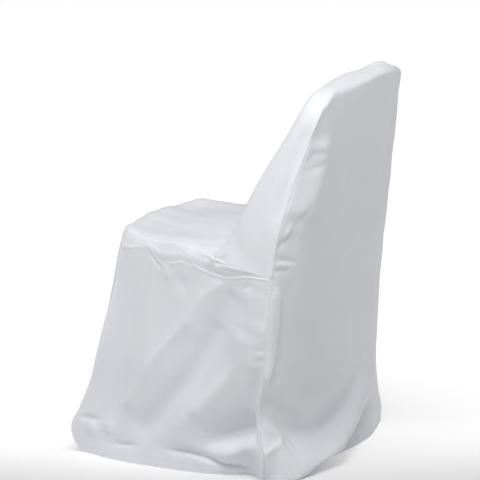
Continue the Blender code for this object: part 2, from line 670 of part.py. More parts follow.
def main():
    for thing in list(bpy.data.objects):
        bpy.data.objects.remove(thing, do_unlink=True)
    left, right = seams("left"), seams("right")
    front = front_grid(left, right)
    grids = {
        "front_panel": front,
        "rear_panel": rear_grid(front[0], left, right),
        "side_panel_left": side_grid("left", left),
        "side_panel_right": side_grid("right", right),
    }
    grids = {name: folded(grid, name) for name, grid in grids.items()}
    shared = shared_normals(grids)
    for name, grid in grids.items():
        inner = inner_layer(grid, name, shared)
        panel_object(name, part_seams(grid, name), part_seams(inner, name))


main()
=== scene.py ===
"""A fitted polyester cover as it hangs on a folding chair, and the studio it stands in.

Metres, +Z up, the floor at 0. The back of the cover faces +Y and its left side faces +X.
Each of the four sewn panels is a grid of points worked out from its seams, its sections
and its folds. A point's place on a side is given as (depth, height), on the rear, the
front drop and the inner back as (across, height), and on the seat as (across, depth).
"""
import functools
import math
import types

import bpy
import numpy as np
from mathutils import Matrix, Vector


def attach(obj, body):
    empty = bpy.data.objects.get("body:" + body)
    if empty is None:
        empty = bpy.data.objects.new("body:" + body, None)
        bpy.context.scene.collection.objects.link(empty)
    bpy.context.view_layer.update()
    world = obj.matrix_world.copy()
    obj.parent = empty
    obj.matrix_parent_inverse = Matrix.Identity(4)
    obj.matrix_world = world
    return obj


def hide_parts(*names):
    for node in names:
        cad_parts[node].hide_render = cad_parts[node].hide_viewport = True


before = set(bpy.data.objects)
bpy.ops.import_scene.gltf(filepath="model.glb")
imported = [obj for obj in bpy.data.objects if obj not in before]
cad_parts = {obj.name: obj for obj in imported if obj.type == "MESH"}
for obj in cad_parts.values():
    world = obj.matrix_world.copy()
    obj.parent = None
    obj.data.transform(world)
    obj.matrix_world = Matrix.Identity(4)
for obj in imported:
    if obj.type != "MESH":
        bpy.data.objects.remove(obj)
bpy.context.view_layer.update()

bl_info = {
    "name": "Folding Chair Cover",
    "version": (1, 0, 0),
    "blender": (4, 5, 0),
    "location": "3D View > Sidebar > Chair Cover",
    "description": "Builds a fitted polyester cover as it hangs on a folding chair",
    "category": "Object",
}

# How many rows and columns the cloth's grids have. Rows run down the back, along the seat
# and down to the floor; columns run across the wings and the space between them. The eases
# bring them closer together at the seams and towards the hem.
BACK_ROWS = 84
SEAT_ROWS = 110
SKIRT_ROWS = 130
FRONT_COLUMNS = (38, 37, 37, 38)
REAR_COLUMNS = (34, 41, 41, 34)
SEAM_EASE = 0.62
HEM_EASE = 1.15

# Seams as they run in space: across (x), depth (y), height (z).
REAR_SEAM_UPPER = {
    "left": (
        (0.160, 0.2665, 0.758), (0.176, 0.270, 0.745), (0.187, 0.266, 0.726), (0.194, 0.2545, 0.692),
        (0.201, 0.243, 0.654), (0.211, 0.229, 0.610), (0.217, 0.222, 0.575), (0.228, 0.210, 0.526),
        (0.235, 0.200, 0.475), (0.240, 0.1945, 0.414)),
    "right": (
        (-0.170, 0.264, 0.773), (-0.183, 0.265, 0.761), (-0.190, 0.261, 0.742),
        (-0.192, 0.254, 0.708), (-0.195, 0.245, 0.664), (-0.200, 0.237, 0.618),
        (-0.208, 0.229, 0.570), (-0.220, 0.217, 0.518), (-0.232, 0.204, 0.468),
        (-0.240, 0.191, 0.414)),
}
REAR_SEAM_LOWER = {
    "left": (
        (0.240, 0.1945, 0.414), (0.2375, 0.1825, 0.300), (0.235, 0.172, 0.190),
        (0.234, 0.1605, 0.120), (0.241, 0.168, 0.088), (0.250, 0.180, 0.059), (0.255, 0.184, 0.025),
        (0.246, 0.178, 0.000)),
    "right": (
        (-0.240, 0.191, 0.414), (-0.242, 0.191, 0.320), (-0.241, 0.187, 0.220),
        (-0.241, 0.184, 0.130), (-0.248, 0.1865, 0.070), (-0.254, 0.190, 0.032),
        (-0.250, 0.190, 0.000)),
}
SEAT_SEAM = {
    "left": (
        (0.240, 0.1945, 0.414), (0.235, 0.137, 0.4125), (0.228, 0.090, 0.403), (0.222, 0.058, 0.405),
        (0.217, 0.025, 0.411), (0.213, -0.004, 0.420), (0.210, -0.036, 0.417),
        (0.207, -0.058, 0.409), (0.205, -0.073, 0.408), (0.2025, -0.088, 0.420),
        (0.199, -0.103, 0.433), (0.196, -0.118, 0.437), (0.190, -0.150, 0.430),
        (0.178, -0.180, 0.428)),
    "right": (
        (-0.240, 0.191, 0.414), (-0.234, 0.130, 0.408), (-0.226, 0.075, 0.404),
        (-0.219, 0.020, 0.412), (-0.212, -0.040, 0.406), (-0.205, -0.100, 0.410),
        (-0.196, -0.150, 0.405), (-0.180, -0.190, 0.408)),
}
FRONT_SEAM = {
    "left": (
        (0.178, -0.180, 0.428), (0.190, -0.189, 0.340), (0.205, -0.203, 0.270),
        (0.215, -0.214, 0.210), (0.220, -0.2275, 0.150), (0.228, -0.247, 0.095),
        (0.235, -0.2625, 0.056), (0.231, -0.256, 0.020), (0.222, -0.2443, 0.000)),
    "right": (
        (-0.180, -0.190, 0.408), (-0.192, -0.203, 0.330), (-0.206, -0.214, 0.250),
        (-0.216, -0.224, 0.170), (-0.226, -0.240, 0.100), (-0.236, -0.256, 0.045),
        (-0.232, -0.252, 0.000)),
}

# Front panel. Stations 0 to 1 run down the back, 1 to 2 along the seat and 2 to 3 down
# to the floor. The turn is where the cloth rounds the side of the back or the seat.
# station, turn across, turn depth, turn height, middle depth, middle height, and how much
# further out and lower the right turn is
FRONT_SECTIONS = (
    (0.00, 0.115, 0.2590, 0.7760, 0.252, 0.781, 0.013, -0.007),
    (0.06, 0.132, 0.2400, 0.7790, 0.236, 0.783, 0.020, -0.007),
    (0.14, 0.160, 0.2290, 0.7580, 0.214, 0.780, 0.016, -0.012),
    (0.27, 0.183, 0.2050, 0.7030, 0.200, 0.716, 0.003, -0.002),
    (0.40, 0.190, 0.1720, 0.6520, 0.184, 0.655, 0.002, 0.002),
    (0.53, 0.195, 0.1460, 0.6080, 0.172, 0.608, 0.000, 0.002),
    (0.66, 0.1975, 0.1195, 0.5610, 0.160, 0.560, 0.000, 0.003),
    (0.80, 0.200, 0.0940, 0.5100, 0.148, 0.514, 0.000, 0.004),
    (0.92, 0.203, 0.0700, 0.4680, 0.138, 0.474, 0.000, 0.005),
    (1.00, 0.206, 0.0480, 0.4440, 0.130, 0.447, 0.000, 0.006),
    (1.10, 0.206, 0.0340, 0.4430, 0.108, 0.437, 0.000, 0.007),
    (1.25, 0.203, 0.0160, 0.4480, 0.068, 0.446, 0.000, 0.008),
    (1.40, 0.200, -0.005, 0.4500, 0.020, 0.452, 0.000, 0.008),
    (1.55, 0.198, -0.042, 0.4530, -0.038, 0.454, 0.000, 0.009),
    (1.70, 0.194, -0.087, 0.4480, -0.098, 0.454, 0.000, 0.008),
    (1.85, 0.182, -0.136, 0.4520, -0.155, 0.455, 0.000, 0.008),
    (2.00, 0.158, -0.184, 0.4520, -0.204, 0.457, 0.002, 0.008),
    (2.06, 0.148, -0.194, 0.4310, -0.222, 0.438, 0.002, 0.006),
    (2.16, 0.150, -0.2035, 0.3830, -0.228, 0.388, 0.002, 0.004),
    (2.33, 0.156, -0.217, 0.3000, -0.236, 0.302, 0.002, 0.002),
    (2.52, 0.165, -0.232, 0.2080, -0.247, 0.210, 0.001, 0.001),
    (2.70, 0.172, -0.248, 0.1260, -0.257, 0.127, 0.000, 0.000),
    (2.85, 0.182, -0.268, 0.0600, -0.269, 0.060, 0.000, 0.000),
    (3.00, 0.178, -0.262, 0.0000, -0.272, 0.000, 0.000, 0.000),
)

# Rear panel: depth of the cloth at five places across, for sections at falling heights.
# height, band across, left band, left third, middle, right third, right band
REAR_SECTIONS = (
    (0.752, 0.118, 0.2675, 0.2680, 0.2680, 0.2685, 0.2705),
    (0.742, 0.140, 0.2700, 0.2705, 0.2705, 0.2695, 0.2705),
    (0.722, 0.156, 0.2700, 0.2710, 0.2710, 0.2700, 0.2715),
    (0.685, 0.160, 0.2680, 0.2690, 0.2690, 0.2680, 0.2685),
    (0.640, 0.163, 0.2640, 0.2660, 0.2665, 0.2660, 0.2640),
    (0.580, 0.172, 0.2550, 0.2600, 0.2615, 0.2605, 0.2535),
    (0.520, 0.180, 0.2445, 0.2530, 0.2550, 0.2535, 0.2430),
    (0.460, 0.188, 0.2335, 0.2455, 0.2470, 0.2445, 0.2330),
    (0.400, 0.195, 0.2215, 0.2365, 0.2365, 0.2335, 0.2225),
    (0.320, 0.195, 0.2100, 0.2275, 0.2260, 0.2230, 0.2145),
    (0.240, 0.195, 0.2000, 0.2165, 0.2165, 0.2140, 0.2080),
    (0.170, 0.195, 0.1900, 0.2040, 0.2065, 0.2065, 0.2035),
    (0.130, 0.195, 0.1840, 0.2030, 0.2090, 0.2110, 0.2040),
    (0.070, 0.195, 0.1740, 0.2120, 0.2100, 0.2090, 0.1990),
    (0.000, 0.195, 0.1670, 0.2120, 0.2080, 0.2050, 0.1930),
)

# Where the rear panel is too long for its drop it turns out from the hang, comes to a
# crest and tucks back under. Heights are above the floor; the rest is how far out of the
# hang the cloth lies at the crest, at the foot below it, and at the hem.
# across, turn height, crest height, crest out, foot out, hem out
REAR_POOL = (
    (0.246, 0.122, 0.030, 0.000, 0.000, 0.000),
    (0.228, 0.124, 0.012, 0.022, 0.024, 0.026),
    (0.208, 0.122, 0.006, 0.062, 0.062, 0.060),
    (0.185, 0.110, 0.010, 0.076, 0.074, 0.066),
    (0.150, 0.088, 0.018, 0.062, 0.052, 0.045),
    (0.115, 0.072, 0.026, 0.052, 0.030, 0.020),
    (0.080, 0.068, 0.034, 0.048, 0.020, 0.010),
    (0.040, 0.068, 0.042, 0.044, 0.014, 0.010),
    (0.000, 0.073, 0.052, 0.040, 0.010, 0.012),
    (-0.050, 0.090, 0.068, 0.033, 0.003, 0.016),
    (-0.100, 0.118, 0.092, 0.025, -0.002, 0.018),
    (-0.150, 0.144, 0.116, 0.015, -0.006, 0.020),
    (-0.200, 0.164, 0.134, 0.005, -0.004, 0.012),
    (-0.250, 0.170, 0.140, 0.000, 0.000, 0.000),
)

# Side panels: how far out the cloth hangs at six depths from front to rear, and those
# depths, for sections at falling heights.
SIDE_DEPTHS = (-0.160, -0.100, -0.040, 0.020, 0.080, 0.130)
SIDE_SECTIONS = {
    "left": (
        (0.340, (0.196, 0.207, 0.215, 0.222, 0.229, 0.234)),
        (0.260, (0.206, 0.219, 0.226, 0.230, 0.232, 0.234)),
        (0.180, (0.218, 0.233, 0.240, 0.240, 0.236, 0.233)),
        (0.120, (0.226, 0.240, 0.246, 0.246, 0.239, 0.230)),
        (0.070, (0.236, 0.245, 0.248, 0.250, 0.244, 0.231)),
        (0.035, (0.240, 0.249, 0.250, 0.251, 0.243, 0.226)),
        (0.000, (0.2465, 0.2525, 0.2525, 0.252, 0.240, 0.214)),
    ),
    "right": (
        (0.340, (0.200, 0.211, 0.214, 0.220, 0.229, 0.234)),
        (0.260, (0.210, 0.222, 0.222, 0.226, 0.233, 0.235)),
        (0.180, (0.220, 0.234, 0.231, 0.233, 0.240, 0.237)),
        (0.120, (0.228, 0.243, 0.239, 0.240, 0.247, 0.240)),
        (0.070, (0.238, 0.250, 0.246, 0.248, 0.252, 0.244)),
        (0.035, (0.243, 0.252, 0.250, 0.252, 0.253, 0.246)),
        (0.000, (0.245, 0.250, 0.2525, 0.253, 0.252, 0.246)),
    ),
}

# Folds: a path over the face, how wide the fold is to the left and right of that path,
# and how far it rises, less than nothing for a trough. Paths are (depth, height) on the
# sides, (across, height) on the rear, the drop and the inner back, (across, depth) on
# the seat.
FOLDS = {
    "left side": (
        ("long ridge", ((0.085, 0.398), (0.050, 0.370), (0.022, 0.343), (-0.005, 0.298),
         (-0.051, 0.242), (-0.085, 0.197), (-0.112, 0.149), (-0.142, 0.098)), 0.024, 0.013, 0.005, 1.3),
        ("long ridge's swell", ((0.010, 0.325), (-0.005, 0.298), (-0.051, 0.242), (-0.085, 0.197),
         (-0.112, 0.149), (-0.142, 0.098)), 0.024, 0.013, 0.004, 1.3),
        ("slanting trough", ((0.110, 0.385), (0.075, 0.315), (0.020, 0.205), (-0.040, 0.130),
         (-0.085, 0.080), (-0.112, 0.040)), 0.024, 0.026, -0.006, 2.0),
        ("trough's depth", ((0.075, 0.315), (0.020, 0.205), (-0.040, 0.130), (-0.085, 0.080),
         (-0.105, 0.052)), 0.024, 0.026, -0.006, 2.0),
        ("broad ridge", ((0.150, 0.400), (0.146, 0.385), (0.140, 0.345), (0.122, 0.290), (0.110, 0.228),
         (0.083, 0.184), (0.042, 0.140), (0.005, 0.100), (-0.035, 0.066)), 0.034, 0.018, 0.0045, 1.6),
        ("broad ridge's swell", ((0.128, 0.310), (0.122, 0.290), (0.110, 0.228), (0.083, 0.184),
         (0.042, 0.140), (0.012, 0.108)), 0.034, 0.016, 0.008, 1.6),
        ("seam trough", ((0.170, 0.215), (0.160, 0.165), (0.146, 0.125), (0.125, 0.100)),
         0.014, 0.020, -0.009, 1.8),
        ("corner trough", ((0.172, 0.112), (0.153, 0.098), (0.123, 0.082), (0.082, 0.068),
         (0.050, 0.058)), 0.012, 0.030, -0.021, 1.4),
        ("corner lobe", ((0.168, 0.072), (0.135, 0.060), (0.100, 0.047), (0.065, 0.038)),
         0.018, 0.018, 0.014, 1.6),
        ("hem tuck", ((-0.034, 0.038), (0.020, 0.039), (0.060, 0.031), (0.095, 0.020), (0.140, 0.012)),
         0.007, 0.006, -0.010, 1.6),
        ("front dent", ((-0.246, 0.074), (-0.215, 0.075), (-0.196, 0.074)), 0.006, 0.006, -0.006, 1.4),
        ("front bulge", ((-0.205, 0.066), (-0.222, 0.040)), 0.014, 0.014, 0.006, 2.0),
        ("front ridge", ((-0.172, 0.078), (-0.180, 0.045)), 0.012, 0.014, 0.005, 1.6),
        ("short tuck", ((-0.166, 0.031), (-0.142, 0.034), (-0.114, 0.036)), 0.005, 0.005, -0.006, 1.5),
    ),
    "right side": (
        ("front ridge", ((-0.124, 0.430), (-0.120, 0.380), (-0.110, 0.260), (-0.130, 0.060)),
         0.026, 0.022, 0.007, 2.0),
        ("middle trough", ((-0.014, 0.430), (-0.020, 0.390), (-0.045, 0.260), (-0.030, 0.080)),
         0.024, 0.026, -0.007, 2.0),
        ("rear ridge", ((0.142, 0.430), (0.130, 0.385), (0.085, 0.250), (0.075, 0.050)),
         0.028, 0.024, 0.008, 2.0),
        ("hem tuck", ((0.020, 0.040), (0.085, 0.032), (0.140, 0.020)), 0.012, 0.007, -0.005, 2.0),
        ("corner trough", ((0.155, 0.210), (0.135, 0.080)), 0.014, 0.016, -0.006, 2.0),
    ),
    "rear": (
        ("left hang trough", ((0.203, 0.420), (0.203, 0.180)), 0.014, 0.016, -0.003, 2.0),
        ("left hang ridge", ((0.100, 0.440), (0.088, 0.160)), 0.030, 0.030, 0.004, 2.0),
        ("middle hang trough", ((-0.010, 0.440), (-0.022, 0.170)), 0.030, 0.030, -0.004, 2.0),
        ("right hang ridge", ((-0.140, 0.420), (-0.153, 0.190)), 0.026, 0.026, 0.004, 2.0),
        ("tongue crease", ((0.212, 0.126), (0.203, 0.097), (0.195, 0.076), (0.186, 0.040)),
         0.007, 0.006, -0.006, 1.4),
        ("upper tuck", ((0.196, 0.630), (0.150, 0.645)), 0.008, 0.010, -0.003, 2.0),
    ),
    "drop": (
        ("left ridge", ((0.110, 0.430), (0.120, 0.250), (0.125, 0.040)), 0.026, 0.026, 0.007, 2.0),
        ("middle trough", ((0.030, 0.430), (0.045, 0.250), (0.040, 0.060)), 0.030, 0.026, -0.006, 2.0),
        ("middle ridge", ((-0.050, 0.420), (-0.050, 0.220), (-0.040, 0.030)), 0.028, 0.032, 0.007, 2.0),
        ("right trough", ((-0.120, 0.420), (-0.125, 0.200), (-0.120, 0.050)),
         0.026, 0.024, -0.006, 2.0),
        ("hem tuck", ((0.120, 0.036), (0.040, 0.030), (-0.030, 0.036)), 0.007, 0.012, -0.004, 2.0),
    ),
    "seat": (
        ("front dip", ((-0.080, -0.200), (-0.075, -0.120)), 0.040, 0.040, -0.003, 2.0),
        ("left pull", ((0.185, 0.000), (0.110, 0.060)), 0.014, 0.016, -0.003, 2.0),
    ),
    "inner back": (
        ("left pull", ((0.150, 0.480), (0.080, 0.560)), 0.018, 0.020, -0.004, 2.0),
        ("right pull", ((-0.155, 0.470), (-0.090, 0.580)), 0.018, 0.020, -0.004, 2.0),
    ),
    "left wing": (
        ("elbow trough", ((0.175, 0.425), (0.120, 0.455), (0.080, 0.500)), 0.020, 0.024, -0.002, 2.0),
    ),
    "right wing": (
        ("elbow trough", ((0.170, 0.430), (0.110, 0.465)), 0.016, 0.018, -0.005, 2.0),
    ),
}
# Each face's outward direction, and the axes that its folds are placed by.
FACES = {
    "left side": ((1, 0, 0), (1, 2)),
    "right side": ((-1, 0, 0), (1, 2)),
    "rear": ((0, 1, 0), (0, 2)),
    "drop": ((0, -1, 0), (0, 2)),
    "seat": ((0, 0, 1), (0, 1)),
    "inner back": ((0, -1, 0), (0, 2)),
    "left wing": ((1, 0, 0), (1, 2)),
    "right wing": ((-1, 0, 0), (1, 2)),
}
FACES_OF_PANEL = {
    "rear_panel": ("rear",),
    "front_panel": ("drop", "seat", "inner back", "left wing", "right wing"),
    "side_panel_left": ("left side",),
    "side_panel_right": ("right side",),
}
# Panels whose columns run the other way round the cover, so their normals are turned.
TURNED_PANELS = ("rear_panel", "side_panel_left")

# Fine creases in the same form as the folds. They don't reach the solids, only the looks.
CREASES = {
    "left side": (
        ("dart", ((-0.103, 0.432), (-0.093, 0.422), (-0.078, 0.408), (-0.066, 0.392)),
         0.005, 0.005, -0.0045, 1.4),
        ("dart lip", ((-0.078, 0.412), (-0.062, 0.394), (-0.050, 0.378)), 0.010, 0.010, 0.003, 2.0),
        ("ridge line", ((0.010, 0.325), (-0.005, 0.300), (-0.051, 0.244), (-0.085, 0.199),
         (-0.112, 0.151), (-0.138, 0.105)), 0.005, 0.006, 0.0022, 1.4),
        ("dent below the seat", ((-0.035, 0.372), (-0.010, 0.380)), 0.016, 0.016, -0.003, 2.0),
        ("notch", ((0.146, 0.399), (0.128, 0.384)), 0.004, 0.005, -0.003, 1.3),
        ("seam pucker one", ((0.184, 0.272), (0.158, 0.264)), 0.004, 0.004, -0.0025, 1.4),
        ("seam pucker two", ((0.182, 0.252), (0.155, 0.243)), 0.004, 0.004, -0.0025, 1.4),
        ("seam pucker three", ((0.184, 0.262), (0.160, 0.254)), 0.003, 0.003, 0.0015, 1.6),
        ("swell by the seam", ((0.176, 0.335), (0.166, 0.265), (0.152, 0.208)),
         0.018, 0.028, 0.006, 2.0),
        ("corner shade", ((0.158, 0.112), (0.122, 0.092), (0.086, 0.078), (0.060, 0.070)),
         0.008, 0.026, -0.012, 1.5),
        ("lower lip", ((0.070, 0.056), (0.104, 0.066), (0.135, 0.081), (0.160, 0.096)),
         0.004, 0.006, 0.003, 1.4),
    ),
    "right side": (
        ("seat pucker one", ((-0.062, 0.404), (-0.048, 0.372)), 0.006, 0.006, -0.0022, 1.6),
        ("seat pucker two", ((0.072, 0.402), (0.082, 0.368)), 0.007, 0.006, -0.0022, 1.6),
        ("slanting line", ((-0.100, 0.350), (-0.030, 0.250), (0.040, 0.150), (0.075, 0.090)),
         0.005, 0.008, 0.002, 1.4),
        ("hem dent", ((-0.085, 0.046), (-0.040, 0.040)), 0.006, 0.006, -0.003, 1.6),
    ),
    "rear": (
        ("roll", ((0.158, 0.705), (0.156, 0.655), (0.164, 0.605), (0.178, 0.560), (0.195, 0.520)),
         0.034, 0.020, 0.012, 1.9),
        ("tuck across the roll", ((0.192, 0.668), (0.176, 0.664), (0.158, 0.668)),
         0.005, 0.006, -0.004, 1.4),
        ("second tuck", ((0.197, 0.654), (0.180, 0.651)), 0.004, 0.005, -0.0025, 1.4),
        ("roll's lower shadow", ((0.203, 0.520), (0.192, 0.540), (0.176, 0.562)),
         0.007, 0.006, -0.004, 1.4),
        ("three-cornered face", ((0.222, 0.508), (0.212, 0.504)), 0.010, 0.012, 0.004, 1.6),
        ("slanting tuck", ((0.206, 0.507), (0.218, 0.494), (0.232, 0.476)), 0.004, 0.007, -0.0045, 1.3),
        ("notch", ((0.237, 0.458), (0.222, 0.452), (0.192, 0.444)), 0.005, 0.006, -0.004, 1.3),
        ("lower notch", ((0.236, 0.433), (0.218, 0.430), (0.206, 0.432)), 0.004, 0.005, -0.0035, 1.3),
        ("notch lip", ((0.236, 0.445), (0.205, 0.438)), 0.006, 0.006, 0.002, 1.8),
        ("seam trough", ((0.221, 0.400), (0.212, 0.307), (0.206, 0.200)), 0.012, 0.012, -0.003, 1.6),
        ("turn of the pool", ((0.150, 0.088), (0.116, 0.077), (0.072, 0.070), (0.008, 0.074),
         (-0.053, 0.093), (-0.098, 0.123), (-0.134, 0.158), (-0.160, 0.195)),
         0.013, 0.030, -0.010, 1.5),
        ("hollow above the pool", ((0.140, 0.150), (0.040, 0.140), (-0.060, 0.165), (-0.130, 0.230)),
         0.028, 0.080, -0.009, 2.0),
        ("crest of the pool", ((-0.175, 0.100), (-0.134, 0.066), (-0.061, 0.050), (0.000, 0.036),
         (0.085, 0.030)), 0.022, 0.010, 0.006, 1.8),
        ("outer hollow", ((-0.225, 0.170), (-0.200, 0.105), (-0.165, 0.068), (-0.120, 0.045),
         (-0.070, 0.025)), 0.012, 0.012, -0.007, 1.6),
        ("edge of the top", ((0.168, 0.744), (0.150, 0.758), (0.126, 0.768), (0.060, 0.776),
         (-0.028, 0.779), (-0.100, 0.779)), 0.005, 0.006, 0.0035, 1.4),
        ("valley over the tongue", ((0.232, 0.158), (0.206, 0.146), (0.180, 0.128), (0.155, 0.112)),
         0.012, 0.014, -0.007, 1.6),
        ("seam roll", ((0.224, 0.405), (0.216, 0.302), (0.219, 0.235), (0.226, 0.192)),
         0.013, 0.006, 0.008, 1.6),
        ("hang ridge", ((0.150, 0.420), (0.130, 0.340), (0.112, 0.270), (0.104, 0.190)),
         0.026, 0.018, 0.003, 1.8),
        ("faint line", ((0.016, 0.700), (-0.006, 0.600), (-0.024, 0.480)), 0.004, 0.004, 0.0008, 1.5),
        ("tongue ridge", ((0.216, 0.100), (0.200, 0.083), (0.211, 0.072), (0.237, 0.057),
         (0.252, 0.045)), 0.005, 0.008, 0.004, 1.4),
        ("tongue edge", ((0.205, 0.126), (0.191, 0.103), (0.179, 0.083), (0.174, 0.062),
         (0.176, 0.040)), 0.005, 0.006, -0.0045, 1.3),
        ("tongue's crest", ((0.226, 0.122), (0.216, 0.104), (0.203, 0.088), (0.194, 0.066)),
         0.010, 0.008, 0.003, 1.6),
    ),
    "drop": (
        ("hang line", ((-0.090, 0.385), (-0.080, 0.240), (-0.095, 0.110)), 0.005, 0.008, 0.0018, 1.4),
        ("second hang line", ((0.060, 0.400), (0.075, 0.260), (0.070, 0.140)),
         0.007, 0.005, 0.0018, 1.4),
        ("hem dent", ((-0.150, 0.041), (-0.108, 0.034)), 0.006, 0.006, -0.003, 1.6),
    ),
    "seat": (
        ("near edge", ((0.138, -0.186), (0.174, -0.140), (0.189, -0.100), (0.195, -0.060),
         (0.200, -0.020), (0.205, 0.012)), 0.006, 0.006, 0.0028, 1.3),
    ),
    "inner back": (
        ("drag line", ((0.140, 0.490), (0.095, 0.540), (0.060, 0.610)), 0.005, 0.009, -0.002, 1.4),
        ("second drag line", ((-0.145, 0.480), (-0.100, 0.545)), 0.007, 0.008, -0.002, 1.4),
    ),
    "left wing": (
        ("seam valley", ((0.250, 0.722), (0.236, 0.690), (0.226, 0.655), (0.214, 0.605), (0.203, 0.560),
         (0.196, 0.520)), 0.010, 0.012, -0.004, 2.0),
        ("foot crease", ((0.026, 0.426), (0.046, 0.448), (0.077, 0.472)), 0.006, 0.006, -0.0045, 1.6),
        ("foot ridge", ((0.044, 0.422), (0.060, 0.441), (0.076, 0.459)), 0.006, 0.006, 0.004, 1.8),
        ("second crease", ((0.060, 0.424), (0.070, 0.434), (0.084, 0.446)), 0.005, 0.006, -0.004, 1.6),
        ("side of the seat", ((-0.140, 0.438), (-0.105, 0.434), (-0.058, 0.426), (-0.015, 0.427)),
         0.010, 0.010, 0.0012, 2.0),
    ),
    "right wing": (
        ("foot crease", ((0.030, 0.428), (0.052, 0.450), (0.080, 0.470)), 0.006, 0.006, -0.003, 1.5),
        ("second crease", ((0.062, 0.418), (0.080, 0.436)), 0.005, 0.006, -0.0025, 1.5),
        ("seat ridge", ((0.080, 0.415), (0.120, 0.428), (0.165, 0.424)), 0.008, 0.008, 0.0018, 1.8),
    ),
}

# Where a seam stands proud and wide, with a stronger painted highlight: its middle, reach and how much.
PROUD_AND_HIGHLIT_SEAMS = (
    ("under the seat", (0.234, 0.198, 0.330), 0.070, 1.8),
    ("beside the skirt", (0.230, 0.204, 0.250), 0.050, 1.1),
    ("by the tongue", (0.236, 0.212, 0.095), 0.040, 1.4),
    ("beside the back", (0.212, 0.250, 0.600), 0.090, 0.4),
)
# How much wider the ridge gets there, and how much of the seam's painted highlight any ridge shows.
PROUD_SPREAD = 0.5
SEAM_PAINTED_HIGHLIGHT = 0.4
# Distance from a seam at which the folds, and the creases, reach their full height.
SEAM_HOLD = 0.016
CREASE_HOLD = 0.006
# Lengths over which a seam fades out at its end, and beside another seam that it meets.
SEAM_END = 0.008
SEAM_CROSSING = 0.006
# Where the doubled cloth beside a seam starts, and how softly it ends in height and in tone.
ALLOWANCE_START = 0.003
ALLOWANCE_EDGE = 0.002
ALLOWANCE_TONE_EDGE = 0.004
# Gathers start a little behind the seam and are full after the second length.
PUCKER_BEHIND = 0.002
PUCKER_START = 0.006
# The gathers are spaced along a slanting direction, so that they differ from seam to seam.
PUCKER_DIRECTION = (0.9, 1.0, 1.1)
# The stitch line lies below the hem's upper edge, in a dimple of this depth and half width.
HEM_LINE_BELOW = 0.002
HEM_EDGE = 0.0016
DIMPLE_DEPTH = 0.0004
DIMPLE_WIDTH = 0.0011
# Long undulations of the hanging cloth: their widths, how many of each, and their height
# as a share of the width.
DRAPE_WIDTHS = (0.075, 0.052, 0.036, 0.026)
DRAPES_EACH = 3
DRAPE_RISE = 0.0042
# A fold fades at its ends over a share of its length, but no more than the length below it.
FOLD_END_SHARE = 0.35
FOLD_END_LENGTH = 0.03
FOLD_END_STRENGTH = 0.25
# Within this distance of a seam the cloth's normals turn to those of the panel sewn to it.
NORMAL_BLEND = 0.008
# The least that the cloth's thickness is divided by where its normals slant.
MITRE_LIMIT = 0.6
# How far a wing bows out between its seam and its turn, and where the points lie between
# a turn and the middle of the front panel.
WING_BULGE = 0.09
INNER_SHARE = 0.60
INNER_DEPTH_SHARE = 0.62
# Above the first height the rear panel follows the crown of the top seam, in full after
# the rise.
CROWN_FROM = 0.66
CROWN_RISE = 0.10
# A face's folds reach only cloth that is turned towards it by more than the first value,
# and in full from there on by the second.
FACING_FROM = 0.2
FACING_RISE = 0.5
# Between the drop's folds, which lie below this height, and those of the inner back.
SEAT_EDGE = 0.445
# The pool's foot as a share of its crest's height, how sharply it tucks under, and the
# distance from the side seams over which it starts.
POOL_FOOT = 0.45
POOL_UNDER = 1.5
POOL_FADE = 0.018
# Straight legs between two points of a fold's path, and how often the grids are eased.
PATH_STEPS = 8
RELAX_PASSES = 14
FLOOR_REACH = 12.0
# Along the floor, away from the camera.
AWAY_FROM_CAMERA = (-0.883, -0.469, 0.0)


def linear(hex_colour):
    """An sRGB colour such as #E8E9EC as linear red, green and blue."""
    parts = [int(hex_colour[i:i + 2], 16) / 255 for i in (1, 3, 5)]
    return tuple(c / 12.92 if c <= 0.04045 else ((c + 0.055) / 1.055) ** 2.4 for c in parts)


def size(name, description, default, kind=bpy.props.FloatProperty, unit="LENGTH", **more):
    """A property of a group: a length unless its unit says otherwise."""
    return kind(name=name, description=description, default=default, unit=unit, **more)


def colour(name, description, hex_colour):
    """A colour property of a group."""
    return bpy.props.FloatVectorProperty(name=name, description=description, subtype="COLOR", size=3,
                                         min=0, max=1, default=linear(hex_colour))


class ClothSizes(bpy.types.PropertyGroup):
    """Sizes of the cloth, its seams and its hems."""

    thickness: size("Cloth Thickness", "Thickness of the polyester sheet", 0.0012, min=0.0003)
    seam_rise: size("Seam Rise", "How far the sewn edge stands proud along a seam", 0.0013)
    seam_width: size("Seam Width", "Half the width of the ridge along a seam", 0.0034)
    allowance_width: size("Seam Allowance", "Width of the doubled cloth beside a seam", 0.010)
    allowance_rise: size(
        "Allowance Rise", "How far the doubled cloth beside a seam lifts the face", 0.0001)
    pucker_rise: size("Pucker Height", "Height of the small gathers that sewing leaves", 0.0007)
    pucker_pitch: size("Pucker Pitch", "Usual distance between two gathers along a seam", 0.015)
    pucker_reach: size("Pucker Reach", "How far a gather runs out from its seam", 0.011)
    hem_width: size("Hem Width", "Height of the turned-up hem", 0.014)
    hem_rise: size("Hem Rise", "How far the turned-up cloth lifts the hem's face", 0.0005)
    stitch_length: size("Stitch Length", "Length of one visible stitch of the hem", 0.0026)
    stitch_gap: size("Stitch Gap", "Cloth between two stitches", 0.0010)
    thread_width: size("Thread Width", "Width of the sewing thread", 0.0005)


class ClothColours(bpy.types.PropertyGroup):
    """Colours of the cloth, the thread and the floor."""

    cloth: colour("Cloth", "Colour of the bleached polyester", "#E9EAEF")
    cloth_shade: colour(
        "Cloth Shade", "Second colour that drifts faintly through the cloth", "#E1E2E8")
    # The seam colour is partly the whiter doubled cloth and partly a painted highlight along the seam
    # ridges.
    seam: colour("Seam", "Doubled cloth along the seams, which less light comes through", "#F5F6FC")
    thread: colour("Thread", "Colour of the sewing thread", "#F2F3F5")
    floor: colour("Floor", "Colour of the studio's floor", "#DEDEDE")


